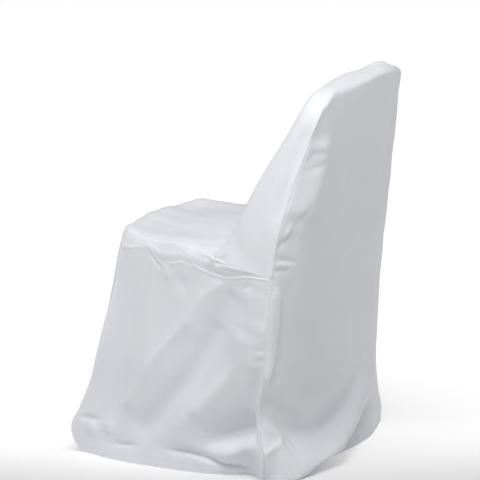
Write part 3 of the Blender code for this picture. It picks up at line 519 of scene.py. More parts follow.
class StudioSizes(bpy.types.PropertyGroup):
    """Where the camera and the lights stand."""

    azimuth: size("Camera Azimuth", "Turn of the camera round the cover", math.radians(118),
                  unit="ROTATION")
    elevation: size("Camera Elevation", "Height of the camera above the level", math.radians(14),
                    unit="ROTATION")
    distance: size("Camera Distance", "From the camera to the cover's middle", 12.0)
    view_width: size("View Width", "Width of the view at the cover's middle", 0.9697)
    target_depth: size("Target Depth", "Depth of the point that the camera looks at", -0.003)
    target_height: size("Target Height", "Height of the point that the camera looks at", 0.4198)
    key_power: size("Key Power", "Power of the soft light high at the left side", 56.0, unit="POWER")
    key_width: size("Key Width", "Side of the square light high at the left side", 2.2)
    key_place: size("Key Place", "Where the light high at the left side hangs", (1.35, 0.2, 2.8),
                    kind=bpy.props.FloatVectorProperty)
    fill_power: size("Fill Power", "Power of the soft light behind the back", 16.0, unit="POWER")
    fill_width: size("Fill Width", "Side of the square light behind the back", 2.0)
    fill_place: size("Fill Place", "Where the light behind the back hangs", (0.7, 1.1, 2.8),
                     kind=bpy.props.FloatVectorProperty)
    room_strength: bpy.props.FloatProperty(
        name="Room Strength", description="Even white light from all round", default=0.24)


def smooth_curve(keys, values, places):
    """A smooth curve through the values at the rising keys, read at the places."""
    keys, values = np.asarray(keys, float), np.asarray(values, float)
    flat = values.reshape(len(keys), -1)
    step = np.diff(keys)[:, None]
    slope = np.diff(flat, axis=0) / step
    tangent = np.vstack((slope[:1], slope[-1:])) if len(keys) == 2 else np.vstack((
        slope[:1],
        (slope[:-1] * step[1:] + slope[1:] * step[:-1]) / (step[1:] + step[:-1]),
        slope[-1:]))
    places = np.clip(np.asarray(places, float), keys[0], keys[-1])
    span = np.clip(np.searchsorted(keys, places, side="right") - 1, 0, len(keys) - 2)
    length = step[span]
    t = ((places - keys[span])[:, None]) / length
    read = (flat[span] * (1 + 2 * t) * (1 - t) ** 2 + flat[span + 1] * t ** 2 * (3 - 2 * t)
            + tangent[span] * length * t * (1 - t) ** 2
            - tangent[span + 1] * length * t ** 2 * (1 - t))
    return read.reshape((len(places),) + values.shape[1:])


def lengths_along(points):
    """Distance run from the first point to each point."""
    return np.concatenate(([0.0], np.cumsum(np.linalg.norm(np.diff(points, axis=0), axis=1))))


def spread(points, shares):
    """Points of a smooth line through the given ones, at shares of its length."""
    points = np.asarray(points, float)
    keys = lengths_along(points)
    dense = smooth_curve(keys, points, np.linspace(0, keys[-1], 40 * len(points)))
    run = lengths_along(dense)
    places = np.asarray(shares) * run[-1]
    return np.stack([np.interp(places, run, dense[:, axis])
                     for axis in range(points.shape[1])], axis=1)


def smoothstep(share):
    share = np.clip(share, 0, 1)
    return share * share * (3 - 2 * share)


def eased(count):
    """Shares from 0 to 1, closer together near both ends, where the seams are."""
    even = np.linspace(0, 1, count + 1)
    return even - SEAM_EASE * np.sin(2 * np.pi * even) / (2 * np.pi)


def skirt_shares():
    """Shares of a drop, closer together at the seat and more so towards the hem."""
    return 1 - (1 - eased(SKIRT_ROWS)) ** HEM_EASE


def seams(side):
    """The rear seam in two lengths, the seat seam and the front seam of one side."""
    return {
        "upper": spread(REAR_SEAM_UPPER[side], eased(BACK_ROWS)),
        "lower": spread(REAR_SEAM_LOWER[side], skirt_shares()),
        "seat": spread(SEAT_SEAM[side], eased(SEAT_ROWS)),
        "front": spread(FRONT_SEAM[side], skirt_shares()),
    }


def across_line(points, turns, counts):
    """One row across a panel, with a set number of columns between its turns."""
    keys = lengths_along(points)
    dense = np.linspace(0, keys[-1], 900)
    curve = smooth_curve(keys, points, dense)
    run = lengths_along(curve)
    marks = np.interp(keys[list(turns)], dense, run)
    ends = np.cumsum((0,) + counts)
    shares = np.interp(eased(ends[-1]) * ends[-1], ends, marks)
    return np.stack([np.interp(shares, run, curve[:, axis]) for axis in range(3)], axis=1)


def front_row(left_edge, right_edge, section):
    """A row of the front panel, from the left seam round both turns to the right one."""
    turn_across, turn_depth, turn_height, middle_depth, middle_height, out, sink = section
    turn = np.array((turn_across, turn_depth, turn_height))
    middle = np.array((0.0, middle_depth, middle_height))
    half = []
    for sign, edge, shift in ((1, left_edge, (0, 0, 0)), (-1, right_edge, (out, 0, -sink))):
        corner = (turn + shift) * (sign, 1, 1)
        side = (edge + corner) / 2
        side[0] += sign * WING_BULGE * np.linalg.norm(edge - corner)
        inner = middle + (corner - middle) * (INNER_SHARE, 1 - INNER_DEPTH_SHARE, 0.5)
        half.append((edge, side, corner, inner))
    left, right = half
    return across_line(np.array(left + (middle,) + right[::-1]), (0, 2, 4, 6, 8), FRONT_COLUMNS)


def front_grid(left, right):
    """The front panel, row by row from the top seam to the front hem."""
    table = np.array(FRONT_SECTIONS)
    stations = np.concatenate((eased(BACK_ROWS), 1 + eased(SEAT_ROWS)[1:], 2 + skirt_shares()[1:]))
    sections = smooth_curve(table[:, 0], table[:, 1:], stations)
    edges = [np.concatenate((s["upper"], s["seat"][1:], s["front"][1:])) for s in (left, right)]
    rows = [front_row(a, b, section) for a, b, section in zip(*edges, sections)]
    grid = np.array(rows)
    grid[-1, :, 2] = 0.0
    return grid


def rear_grid(top_row, left, right):
    """The rear panel, row by row from the top seam to the rear hem."""
    edges = [np.concatenate((s["upper"], s["lower"][1:])) for s in (left, right)]
    heights = edges[0][:, 2]
    sections, keys = [top_row], [-heights[0]]
    crown = top_row[:, 2] - top_row[0, 2]
    for row in REAR_SECTIONS:
        height, band, depths = row[0], row[1], row[2:]
        ends = [np.array([np.interp(-height, -e[:, 2], e[:, axis]) for axis in range(3)])
                for e in edges]
        places = (band, band / 2, 0.0, -band / 2, -band)
        inside = [(x, y, height) for x, y in zip(places, depths)]
        line = across_line(np.array([ends[0], *inside, ends[1]]), (0, 1, 3, 5, 6), REAR_COLUMNS)
        line[:, 2] += crown * np.clip((height - CROWN_FROM) / CROWN_RISE, 0, 1)
        sections.append(line)
        keys.append(-height)
    grid = smooth_curve(keys, np.array(sections), -heights)
    return pooled(pin_sides(grid, *edges))


def pooled(grid):
    """Bring the foot of the rear panel out to its crest and back under it."""
    across, height = grid[..., 0], grid[..., 2]
    rows = np.array(REAR_POOL)[::-1]
    read = smooth_curve(rows[:, 0], rows[:, 1:], across.ravel()).reshape(grid.shape[:2] + (5,))
    turn, crest, crest_out, foot_out, hem_out = np.moveaxis(read, -1, 0)
    foot = POOL_FOOT * crest
    above = np.clip((turn - height) / (turn - crest), 0, 1)
    below = np.clip((crest - height) / (crest - foot), 0, 1)
    under = np.clip(1 - height / foot, 0, 1)
    out = (crest_out * above + (foot_out - crest_out) * smoothstep(below)
           + (hem_out - foot_out) * under ** POOL_UNDER)
    reach = reaches(grid)
    grid[..., 1] += out * smoothstep(np.minimum(reach["first"], reach["last"]) / POOL_FADE)
    return grid


def side_grid(side, seam):
    """A side panel, row by row from the seat seam to the hem, front to rear across."""
    sign = 1 if side == "left" else -1
    top_row = seam["seat"][::-1]
    heights = seam["lower"][:, 2]
    sections, keys = [top_row], [-heights[0]]
    for height, outs in SIDE_SECTIONS[side]:
        ends = [np.array([np.interp(-height, -seam[name][:, 2], seam[name][:, axis])
                          for axis in range(3)]) for name in ("front", "lower")]
        inside = [(sign * x, y, height) for x, y in zip(outs, SIDE_DEPTHS)]
        sections.append(spread([ends[0], *inside, ends[1]], eased(SEAT_ROWS)))
        keys.append(-height)
    grid = smooth_curve(keys, np.array(sections), -heights)
    return pin_sides(grid, seam["front"], seam["lower"])


def pin_sides(grid, first, last):
    """Move a grid's two sides onto their seams, and what lies between them in share."""
    share = np.linspace(0, 1, grid.shape[1])[None, :, None]
    grid = (grid + (1 - share) * (first - grid[:, 0])[:, None]
            + share * (last - grid[:, -1])[:, None])
    grid[-1, :, 2] = 0.0
    return grid


def relaxed(grid):
    """Ease the grid's inside towards the line between its neighbours; its rim stays."""
    down = np.linalg.norm(np.diff(grid, axis=0), axis=2)[..., None]
    across = np.linalg.norm(np.diff(grid, axis=1), axis=2)[..., None]
    above, below = down[:-1, 1:-1], down[1:, 1:-1]
    before, after = across[1:-1, :-1], across[1:-1, 1:]
    grid = grid.copy()
    for _ in range(RELAX_PASSES):
        vertical = (grid[:-2, 1:-1] * below + grid[2:, 1:-1] * above) / (above + below)
        level = (grid[1:-1, :-2] * after + grid[1:-1, 2:] * before) / (before + after)
        grid[1:-1, 1:-1] = (grid[1:-1, 1:-1] + (vertical + level) / 2) / 2
    return grid


def grid_normals(grid):
    """Outward or inward normal of each point, from its neighbours along and across."""
    down = np.gradient(grid, axis=0)
    across = np.gradient(grid, axis=1)
    normal = np.cross(across, down)
    # The top seam runs smoothly through the upper corners, where both ways line up.
    normal[0, 0], normal[0, -1] = normal[2, 2], normal[2, -3]
    return normal / np.linalg.norm(normal, axis=2, keepdims=True)


def outward(grid, name):
    """The grid's normals, turned to point away from the chair."""
    normal = grid_normals(grid)
    return -normal if name in TURNED_PANELS else normal


def path_profile(flat, path, left_width, right_width, power):
    """How strongly each place feels a fold that follows the path, from 0 to 1."""
    points = spread(path, np.linspace(0, 1, PATH_STEPS * (len(path) - 1) + 1))
    run = lengths_along(points)
    ends = min(FOLD_END_SHARE * run[-1], FOLD_END_LENGTH)
    best = np.full(flat.shape[:-1], np.inf)
    strength = np.zeros(flat.shape[:-1])
    for i in range(len(points) - 1):
        leg = points[i + 1] - points[i]
        length = np.linalg.norm(leg)
        along = np.clip(((flat - points[i]) @ leg) / length ** 2, 0, 1)
        offset = flat - (points[i] + along[..., None] * leg)
        distance = np.linalg.norm(offset, axis=-1)
        turn = leg[0] * offset[..., 1] - leg[1] * offset[..., 0]
        width = np.where(turn > 0, left_width, right_width)
        place = run[i] + along * length
        taper = smoothstep(np.minimum(place, run[-1] - place) / ends)
        taper = FOLD_END_STRENGTH + (1 - FOLD_END_STRENGTH) * taper
        nearer = distance < best
        best = np.where(nearer, distance, best)
        strength = np.where(nearer, np.exp(-(distance / width) ** power) * taper, strength)
    return strength


def reaches(grid):
    """How far each point is along the cloth from the grid's top, bottom and two sides."""
    down = np.cumsum(np.linalg.norm(np.diff(grid, axis=0), axis=2), axis=0)
    down = np.concatenate((np.zeros((1, grid.shape[1])), down))
    across = np.cumsum(np.linalg.norm(np.diff(grid, axis=1), axis=2), axis=1)
    across = np.concatenate((np.zeros((grid.shape[0], 1)), across), axis=1)
    return {"top": down, "bottom": down[-1:] - down,
            "first": across, "last": across[:, -1:] - across}


def seam_hold(grid, distance):
    """0 on a panel's seams, rising to 1 at the distance from them; the hem is free."""
    reach = reaches(grid)
    nearest = np.minimum(reach["top"], np.minimum(reach["first"], reach["last"]))
    return smoothstep(nearest / distance)


def fold_relief(grid, name, normal, folds):
    """How far each point of the grid rises or sinks by the folds."""
    move = np.zeros(grid.shape[:2])
    for face in FACES_OF_PANEL[name]:
        direction, axes = FACES[face]
        facing = np.clip((normal @ np.array(direction, float) - FACING_FROM) / FACING_RISE, 0, 1)
        if face == "drop":
            facing = facing * (grid[..., 2] < SEAT_EDGE)
        if face == "inner back":
            facing = facing * (grid[..., 2] > SEAT_EDGE)
        for _, path, left_width, right_width, rise, power in folds[face]:
            move += facing * rise * path_profile(grid[..., list(axes)], path,
                                                 left_width, right_width, power)
    return move


def keys_of(grid):
    return [tuple(point) for point in np.round(grid.reshape(-1, 3), 6)]


def shared_normals(grids):
    """One normal for each place, so that panels which meet on a seam share it."""
    total = {}
    for name, grid in grids.items():
        for key, normal in zip(keys_of(grid), outward(grid, name).reshape(-1, 3)):
            total[key] = total.get(key, 0) + normal
    return {key: normal / np.linalg.norm(normal) for key, normal in total.items()}


def seam_strength(points, lengths):
    """1 along a seam, more where it stands proud, fading to 0 where it ends or meets another."""
    proud = np.ones(len(points))
    for _, place, reach, more in PROUD_AND_HIGHLIT_SEAMS:
        proud += more * np.exp(-(np.linalg.norm(points - place, axis=1) / reach) ** 2)
    return proud * np.concatenate([
        smoothstep(np.minimum(run, run[-1] - run) / SEAM_END)[(0 if i == 0 else 1):]
        for i, run in enumerate(lengths_along(part) for part in lengths)])


def pucker_wave(points, sizes):
    """Uneven small gathers along a seam, the same for both panels that meet there."""
    place = (points @ np.array(PUCKER_DIRECTION)) / sizes.pucker_pitch
    wave = (np.sin(2 * np.pi * place + 2.0 * np.sin(0.9 * place))
            + 0.6 * np.sin(2 * np.pi * 1.73 * place + 1.1)
            + 0.4 * np.sin(2 * np.pi * 0.47 * place + 0.4))
    swell = 0.55 + 0.45 * np.sin(0.61 * place + 0.8) * np.sin(0.23 * place)
    return wave * swell / 2


def seam_relief(grid, edges, sizes):
    """Ridge, doubled cloth and puckers along each of the panel's seams, and the share of painted seam
    highlight.
    """
    reach = reaches(grid)
    total, seam_doubling_and_highlight = np.zeros(grid.shape[:2]), np.zeros(grid.shape[:2])
    for side, (strength, wave, allowance) in edges.items():
        away = reach[side]
        line = (slice(None), None) if side in ("first", "last") else (None, slice(None))
        widths = sizes.seam_width * (1 + PROUD_SPREAD * np.maximum(strength - 1, 0))
        ridge = np.exp(-(away / widths[line]) ** 2)
        relief = sizes.seam_rise * ridge
        if allowance:
            edge = smoothstep((sizes.allowance_width - away) / ALLOWANCE_EDGE)
            relief += sizes.allowance_rise * edge * smoothstep(away / ALLOWANCE_START)
        rise = smoothstep((away + PUCKER_BEHIND) / PUCKER_START)
        relief = relief + sizes.pucker_rise * wave[line] * rise * np.exp(-away / sizes.pucker_reach)
        fade = np.ones(grid.shape[:2])
        for other in edges:
            if other != side:
                fade = fade * smoothstep(reach[other] / SEAM_CROSSING)
        total += strength[line] * relief * fade
        # The crest of each ridge takes the whiter seam colour: a painted highlight.
        seam_doubling_and_highlight = np.maximum(seam_doubling_and_highlight, SEAM_PAINTED_HIGHLIGHT * np.minimum(strength[line], 1) * ridge)
        if allowance:
            # Where a seam is proud the whole allowance takes it: partly doubled cloth, partly painted
            # highlight.
            doubled = smoothstep((sizes.allowance_width + ALLOWANCE_TONE_EDGE - away)
                                 / ALLOWANCE_TONE_EDGE)
            seam_doubling_and_highlight = np.maximum(seam_doubling_and_highlight, np.clip(strength - 1, 0, 1)[line] * doubled)
    return total, seam_doubling_and_highlight


def drape_waves(grid, hold, seed):
    """Faint long undulations that run down the cloth, none of them even."""
    random = np.random.default_rng(seed)
    reach = reaches(grid)
    across, down = reach["first"], reach["top"]
    total = np.zeros(grid.shape[:2])
    for width in DRAPE_WIDTHS:
        for _ in range(DRAPES_EACH):
            slant, phase = random.uniform(-0.35, 0.35), random.uniform(0, 6.3)
            bend = random.uniform(3, 9)
            wave = np.sin(2 * np.pi * (across + slant * down) / (width * random.uniform(0.8, 1.2))
                          + phase + 1.3 * np.sin(bend * down * 2 + phase))
            swell = 0.5 + 0.5 * np.sin(down * random.uniform(8, 20)
                                       + across * random.uniform(-9, 9) + phase)
            total += wave * swell * width * DRAPE_RISE
    return total * hold


def hem_relief(grid, sizes):
    """The turned-up hem and the dimple of its stitch line."""
    up = reaches(grid)["bottom"]
    band = sizes.hem_rise * smoothstep((sizes.hem_width - up) / HEM_EDGE)
    dimple = DIMPLE_DEPTH * np.exp(-((up - hem_line_height(sizes)) / DIMPLE_WIDTH) ** 2)
    return band - dimple


def hem_line_height(sizes):
    return sizes.hem_width - HEM_LINE_BELOW


def blended_normals(grid, name, shared):
    """The panel's own normals, turned near a rim to those it shares with its neighbour."""
    own = outward(grid, name)
    common = np.array([shared[key] for key in keys_of(grid)]).reshape(grid.shape)
    reach = reaches(grid)
    weights = {side: 1 - smoothstep(reach[side] / NORMAL_BLEND)
               for side in ("top", "first", "last")}
    rims = {"top": common[:1], "first": common[:, :1], "last": common[:, -1:]}
    total = own * np.clip(1 - sum(weights.values()), 0, 1)[..., None]
    for side, weight in weights.items():
        total = total + weight[..., None] * rims[side]
    for rim in ((0, slice(None)), (slice(None), 0), (slice(None), -1)):
        total[rim] = common[rim]
    total[-1, :, 2] = 0.0
    return total / np.linalg.norm(total, axis=2, keepdims=True)


def panel_edges(name, left, right, top_row, sizes):
    """For each of a panel's seams: its strength, its puckers, and if it is doubled."""
    def edge(points, parts, allowance):
        return seam_strength(points, parts), pucker_wave(points, sizes), allowance

    def chain(seam, *names):
        parts = [seam[n] for n in names]
        return np.concatenate([parts[0]] + [p[1:] for p in parts[1:]]), parts

    if name == "front_panel":
        ends = [chain(s, "upper", "seat", "front") for s in (left, right)]
        return {"top": edge(top_row, [top_row], False),
                "first": edge(*ends[0], True), "last": edge(*ends[1], True)}
    if name == "rear_panel":
        ends = [chain(s, "upper", "lower") for s in (left, right)]
        return {"top": edge(top_row, [top_row], True),
                "first": edge(*ends[0], True), "last": edge(*ends[1], True)}
    seam = left if name == "side_panel_left" else right
    return {"top": edge(*chain({"seat": seam["seat"][::-1]}, "seat"), True),
            "first": edge(*chain(seam, "front"), False),
            "last": edge(*chain(seam, "lower"), False)}


def shaped_panels(sizes):
    """The outer face of every panel with all its folds, and its shared normals."""
    names = ClothSizes.__annotations__
    return shape_panels(tuple((name, getattr(sizes, name)) for name in names))


@functools.lru_cache(maxsize=1)
def shape_panels(named_sizes):
    sizes = types.SimpleNamespace(**dict(named_sizes))
    left, right = seams("left"), seams("right")
    front = front_grid(left, right)
    rear = rear_grid(front[0], left, right)
    grids = {"front_panel": front, "rear_panel": rear,
             "side_panel_left": side_grid("left", left),
             "side_panel_right": side_grid("right", right)}
    for name, grid in grids.items():
        grid = relaxed(grid)
        normal = outward(grid, name)
        move = fold_relief(grid, name, normal, FOLDS) * seam_hold(grid, SEAM_HOLD)
        grid = grid + normal * move[..., None]
        grid[-1, :, 2] = 0.0
        grids[name] = grid
    shared = shared_normals(grids)
    shaped = {}
    for seed, (name, grid) in enumerate(grids.items()):
        normal = blended_normals(grid, name, shared)
        hold = seam_hold(grid, CREASE_HOLD)
        edges = panel_edges(name, left, right, grid[0], sizes)
        relief, seam_doubling_and_highlight = seam_relief(grid, edges, sizes)
        move = fold_relief(grid, name, normal, CREASES) * hold + relief + hem_relief(grid, sizes)
        move += drape_waves(grid, seam_hold(grid, SEAM_HOLD), seed)
        outer = grid + normal * move[..., None]
        outer[..., 2] = np.maximum(outer[..., 2], 0.0)
        outer[-1, :, 2] = 0.0
        shaped[name] = (outer, normal, seam_doubling_and_highlight)
    return shaped


def rim_of(index):
    """The points round a grid, down its first side, along the hem, up and back."""
    return np.concatenate((index[:-1, 0], index[-1, :-1], index[:0:-1, -1], index[0, :0:-1]))


def cloth_object(name, outer, normal, seam_doubling_and_highlight, sizes, material):
    """A thin closed sheet of cloth between the outer face and its inside."""
    own = outward(outer, name)
    mitre = np.clip((normal * own).sum(axis=2), MITRE_LIMIT, 1.0)
    inner = outer - normal * (sizes.thickness / mitre)[..., None]
    inner[..., 2] = np.maximum(inner[..., 2], 0.0)
    inner[-1, :, 2] = 0.0
    rows, columns = outer.shape[:2]
    count = rows * columns
    index = np.arange(count).reshape(rows, columns)
    quads = np.stack((index[:-1, :-1], index[1:, :-1], index[1:, 1:], index[:-1, 1:]),
                     axis=-1).reshape(-1, 4)
    rim = rim_of(index)
    after = np.roll(rim, -1)
    faces = np.concatenate((quads, quads[:, ::-1] + count,
                            np.stack((after, rim, rim + count, after + count), axis=1)))
    if name not in TURNED_PANELS:
        faces = faces[:, ::-1]
    points = np.concatenate((outer.reshape(-1, 3), inner.reshape(-1, 3)))
    mesh = bpy.data.meshes.new(name + "_cloth")
    mesh.from_pydata(points.tolist(), [], faces.tolist())
    mesh.update()
    reach = reaches(outer)
    places = np.stack((reach["first"], reach["bottom"]), axis=-1).reshape(-1, 2)
    places = np.concatenate((places, places))
    corners = np.empty(len(mesh.loops), int)
    mesh.loops.foreach_get("vertex_index", corners)
    unwrapped = mesh.uv_layers.new(name="Cloth")
    unwrapped.data.foreach_set("uv", places[corners].astype(np.float32).ravel())
    # Each point's share of the whiter seam colour: partly doubled cloth, partly painted highlight.
    seam = mesh.attributes.new("Seam", "FLOAT", "POINT")
    seam.data.foreach_set("value", np.tile(seam_doubling_and_highlight.ravel(), 2).astype(np.float32))
    mesh.shade_smooth()
    mesh.materials.append(material)
    cloth = bpy.data.objects.new(name + "_cloth", mesh)
    bpy.context.scene.collection.objects.link(cloth)
    return cloth


def add(tree, kind, inputs=None, **settings):
    """Add a node with its settings, and set or link its inputs by name or number."""
    node = tree.nodes.new(kind)
    for name, value in settings.items():
        setattr(node, name, value)
    for name, value in (inputs or {}).items():
        if isinstance(value, bpy.types.NodeSocket):
            tree.links.new(value, node.inputs[name])
        else:
            node.inputs[name].default_value = value
    return node


def noise(tree, place, scale, detail):
    """A noise texture's value at the place."""
    return add(tree, "ShaderNodeTexNoise",
               {"Vector": place, "Scale": scale, "Detail": detail}).outputs["Fac"]


def mapped(tree, value, start, end, low, high, kind="LINEAR"):
    """The value from start to end, brought to the range from low to high."""
    return add(tree, "ShaderNodeMapRange", {
        "Value": value, "From Min": start, "From Max": end, "To Min": low, "To Max": high},
        interpolation_type=kind).outputs["Result"]


def maths(tree, operation, *values):
    """The result of a Math node on the values."""
    node = add(tree, "ShaderNodeMath", dict(enumerate(values)), operation=operation)
    return node.outputs["Value"]


def new_material(name):
    material = bpy.data.materials.new(name)
    material.use_nodes = True
    material.node_tree.nodes.clear()
    return material, material.node_tree


def finished(material, inputs):
    """The material with one Principled shader that has the inputs."""
    tree = material.node_tree
    shader = add(tree, "ShaderNodeBsdfPrincipled", inputs)
    add(tree, "ShaderNodeOutputMaterial", {"Surface": shader.outputs["BSDF"]})
    return material


def woven_polyester(colours):
    """Bleached spun polyester in a plain weave, ironed smooth, with a painted highlight along its
    seams.

    It is matt with a soft sheen at grazing angles. The thread spacing is drawn at 1.1 mm,
    three times the real one, so that it shows at all.
    """
    found = bpy.data.materials.get("woven_polyester")
    if found:
        return found
    material, tree = new_material("woven_polyester")
    cloth_place = add(tree, "ShaderNodeUVMap", uv_map="Cloth").outputs["UV"]
    place = add(tree, "ShaderNodeTexCoord").outputs["Object"]
    tone = add(tree, "ShaderNodeMix", {
        "Factor": noise(tree, place, 9.0, 3.0), "A": (*colours.cloth, 1),
        "B": (*colours.cloth_shade, 1)}, data_type="RGBA")
    warp, weft = (add(tree, "ShaderNodeTexWave", {
        "Vector": cloth_place, "Scale": 143.0, "Distortion": 0.6, "Detail": 1.0,
        "Detail Scale": 0.3}, bands_direction=way).outputs["Fac"] for way in "XY")
    weave = maths(tree, "MULTIPLY", warp, weft)
    slub_place = add(tree, "ShaderNodeMapping", {"Vector": cloth_place, "Scale": (900.0, 45.0, 1.0)})
    slub = noise(tree, slub_place.outputs["Vector"], 1.0, 2.0)
    bump = add(tree, "ShaderNodeBump", {"Height": maths(tree, "MULTIPLY_ADD", slub, 0.5, weave),
                                        "Strength": 0.22, "Distance": 0.00025})
    # The Seam attribute mixes in the whiter seam colour: partly doubled cloth, partly a painted
    # highlight.
    seam = add(tree, "ShaderNodeAttribute", attribute_name="Seam")
    tone_with_seam_highlight = add(tree, "ShaderNodeMix", {
        "Factor": seam.outputs["Fac"], "A": tone.outputs["Result"], "B": (*colours.seam, 1)},
        data_type="RGBA")
    return finished(material, {
        "Base Color": tone_with_seam_highlight.outputs["Result"], "Roughness": mapped(tree, slub, 0, 1, 0.52, 0.66),
        "Normal": bump.outputs["Normal"], "Sheen Weight": 0.18, "Sheen Roughness": 0.45,
        "Specular IOR Level": 0.35, "IOR": 1.5})


def polyester_thread(colours):
    """Spun polyester sewing thread, matt with a slight gloss along its twist."""
    material, tree = new_material("polyester_thread")
    place = add(tree, "ShaderNodeTexCoord").outputs["Object"]
    bump = add(tree, "ShaderNodeBump", {"Height": noise(tree, place, 900.0, 1.0), "Strength": 0.3,
                                        "Distance": 0.0002})
    return finished(material, {"Base Color": (*colours.thread, 1), "Roughness": 0.5,
                               "Normal": bump.outputs["Normal"], "Sheen Weight": 0.1})


def painted_floor(colours):
    """Seamless studio floor in matt white paint. It glows, as painted light, behind the cover and far
    off to stay pale.
    """
    material, tree = new_material("painted_floor")
    place = add(tree, "ShaderNodeTexCoord").outputs["Object"]
    behind = add(tree, "ShaderNodeVectorMath", {0: place, 1: AWAY_FROM_CAMERA},
                 operation="DOT_PRODUCT").outputs["Value"]
    distance = add(tree, "ShaderNodeVectorMath", {0: place}, operation="LENGTH").outputs["Value"]
    # Painted light: the floor glows more behind the cover and beyond a metre, and little or not at all
    # near its front.
    glow = maths(tree, "ADD", mapped(tree, behind, -0.45, 0.15, 0, 0.50, "SMOOTHSTEP"),
                 mapped(tree, behind, 0.15, 2.0, 0, 0.27))
    around = mapped(tree, distance, 1.0, 4.5, 0, 0.70, "SMOOTHSTEP")
    return finished(material, {
        "Base Color": (*colours.floor, 1),
        "Roughness": mapped(tree, noise(tree, place, 3.0, 2.0), 0, 1, 0.85, 0.95),
        "Specular IOR Level": 0.1, "Emission Color": (1, 1, 1, 1),
        "Emission Strength": maths(tree, "MAXIMUM", glow, around)})


def finish_panel(name):
    """Make one panel of the cover, hang it on the root body and hide the imported part of the same
    name.
    """
    scene = bpy.context.scene
    sizes, colours = scene.cloth_sizes, scene.cloth_colours
    outer, normal, seam_doubling_and_highlight = shaped_panels(sizes)[name]
    cloth = cloth_object(name, outer, normal, seam_doubling_and_highlight, sizes, woven_polyester(colours))
    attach(cloth, "root")
    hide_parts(name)


def hem_stitch_tree():
    """Geometry Nodes that lay evenly spaced stitches along a line of edges."""
    tree = bpy.data.node_groups.new("hem_stitches", "GeometryNodeTree")
    sockets = (("Line", "NodeSocketGeometry"), ("Stitch Length", "NodeSocketFloat"),
               ("Stitch Gap", "NodeSocketFloat"), ("Thread Width", "NodeSocketFloat"),
               ("Thread", "NodeSocketMaterial"), ("Seed", "NodeSocketInt"))
    for name, kind in sockets:
        tree.interface.new_socket(name=name, in_out="INPUT", socket_type=kind)
    tree.interface.new_socket(name="Stitches", in_out="OUTPUT", socket_type="NodeSocketGeometry")
    given = add(tree, "NodeGroupInput").outputs
    pitch = maths(tree, "ADD", given["Stitch Length"], given["Stitch Gap"])
    line = add(tree, "GeometryNodeMeshToCurve", {"Mesh": given["Line"]})
    points = add(tree, "GeometryNodeCurveToPoints",
                 {"Curve": line.outputs["Curve"], "Length": pitch}, mode="LENGTH")
    extent = add(tree, "ShaderNodeCombineXYZ", {
        "X": given["Thread Width"], "Y": given["Thread Width"], "Z": given["Stitch Length"]})
    ball = add(tree, "GeometryNodeMeshUVSphere", {"Segments": 6, "Rings": 4, "Radius": 0.5})
    stitch = add(tree, "GeometryNodeTransform",
                 {"Geometry": ball.outputs["Mesh"], "Scale": extent.outputs["Vector"]})
    shrink = add(tree, "FunctionNodeRandomValue", {"Min": 0.85, "Max": 1.0, "Seed": given["Seed"]})
    laid = add(tree, "GeometryNodeInstanceOnPoints", {
        "Points": points.outputs["Points"], "Instance": stitch.outputs["Geometry"],
        "Rotation": points.outputs["Rotation"], "Scale": shrink.outputs[1]})
    real = add(tree, "GeometryNodeRealizeInstances", {"Geometry": laid.outputs["Instances"]})
    coloured = add(tree, "GeometryNodeSetMaterial",
                   {"Geometry": real.outputs["Geometry"], "Material": given["Thread"]})
    add(tree, "NodeGroupOutput", {"Stitches": coloured.outputs["Geometry"]})
    return tree


def hem_line(outer, normal, sizes):
    """The stitch line's points, a set height above the hem's edge on the outer face."""
    up = reaches(outer)["bottom"]
    height = hem_line_height(sizes)
    face = outer + normal * (0.25 * sizes.thread_width)
    return [[float(np.interp(height, up[::-1, column], face[::-1, column, axis]))
             for axis in range(3)] for column in range(outer.shape[1])]


class COVER_OT_front_panel(bpy.types.Operator):
    """Make the panel over the back, the seat and the front drop"""

    bl_idname = "chair_cover.front_panel"
    bl_label = "Front Panel"

    def execute(self, context):
        finish_panel("front_panel")
        return {"FINISHED"}


class COVER_OT_rear_panel(bpy.types.Operator):
    """Make the panel behind the back, from the top seam to the floor"""

    bl_idname = "chair_cover.rear_panel"
    bl_label = "Rear Panel"

    def execute(self, context):
        finish_panel("rear_panel")
        return {"FINISHED"}


class COVER_OT_side_panels(bpy.types.Operator):
    """Make the two panels below the seat's sides"""

    bl_idname = "chair_cover.side_panels"
    bl_label = "Side Panels"

    def execute(self, context):
        for side in ("left", "right"):
            finish_panel(f"side_panel_{side}")
        return {"FINISHED"}


class COVER_OT_hem_stitches(bpy.types.Operator):
    """Sew the hem's stitch line round the foot of the cover"""

    bl_idname = "chair_cover.hem_stitches"
    bl_label = "Hem Stitches"

    def execute(self, context):
        sizes = context.scene.cloth_sizes
        tree = hem_stitch_tree()
        thread = polyester_thread(context.scene.cloth_colours)
        for seed, (name, (outer, normal, _)) in enumerate(shaped_panels(sizes).items()):
            points = hem_line(outer, normal, sizes)
            mesh = bpy.data.meshes.new(name + "_hem_line")
            mesh.from_pydata(points, [(i, i + 1) for i in range(len(points) - 1)], [])
            line = bpy.data.objects.new(name + "_hem_line", mesh)
            context.scene.collection.objects.link(line)
            sewing = line.modifiers.new("stitches", "NODES")
            sewing.node_group = tree
            values = {"Stitch Length": sizes.stitch_length, "Stitch Gap": sizes.stitch_gap,
                      "Thread Width": sizes.thread_width, "Thread": thread, "Seed": seed}
            for item in tree.interface.items_tree:
                if item.in_out == "INPUT" and item.name in values:
                    sewing[item.identifier] = values[item.name]
            context.view_layer.update()
            depsgraph = context.evaluated_depsgraph_get()
            made = bpy.data.meshes.new_from_object(line.evaluated_get(depsgraph))
            bpy.data.objects.remove(line, do_unlink=True)
            made.name = name + "_hem_stitches"
            made.shade_smooth()
            stitches = bpy.data.objects.new(name + "_hem_stitches", made)
            context.scene.collection.objects.link(stitches)
            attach(stitches, "root")
        return {"FINISHED"}


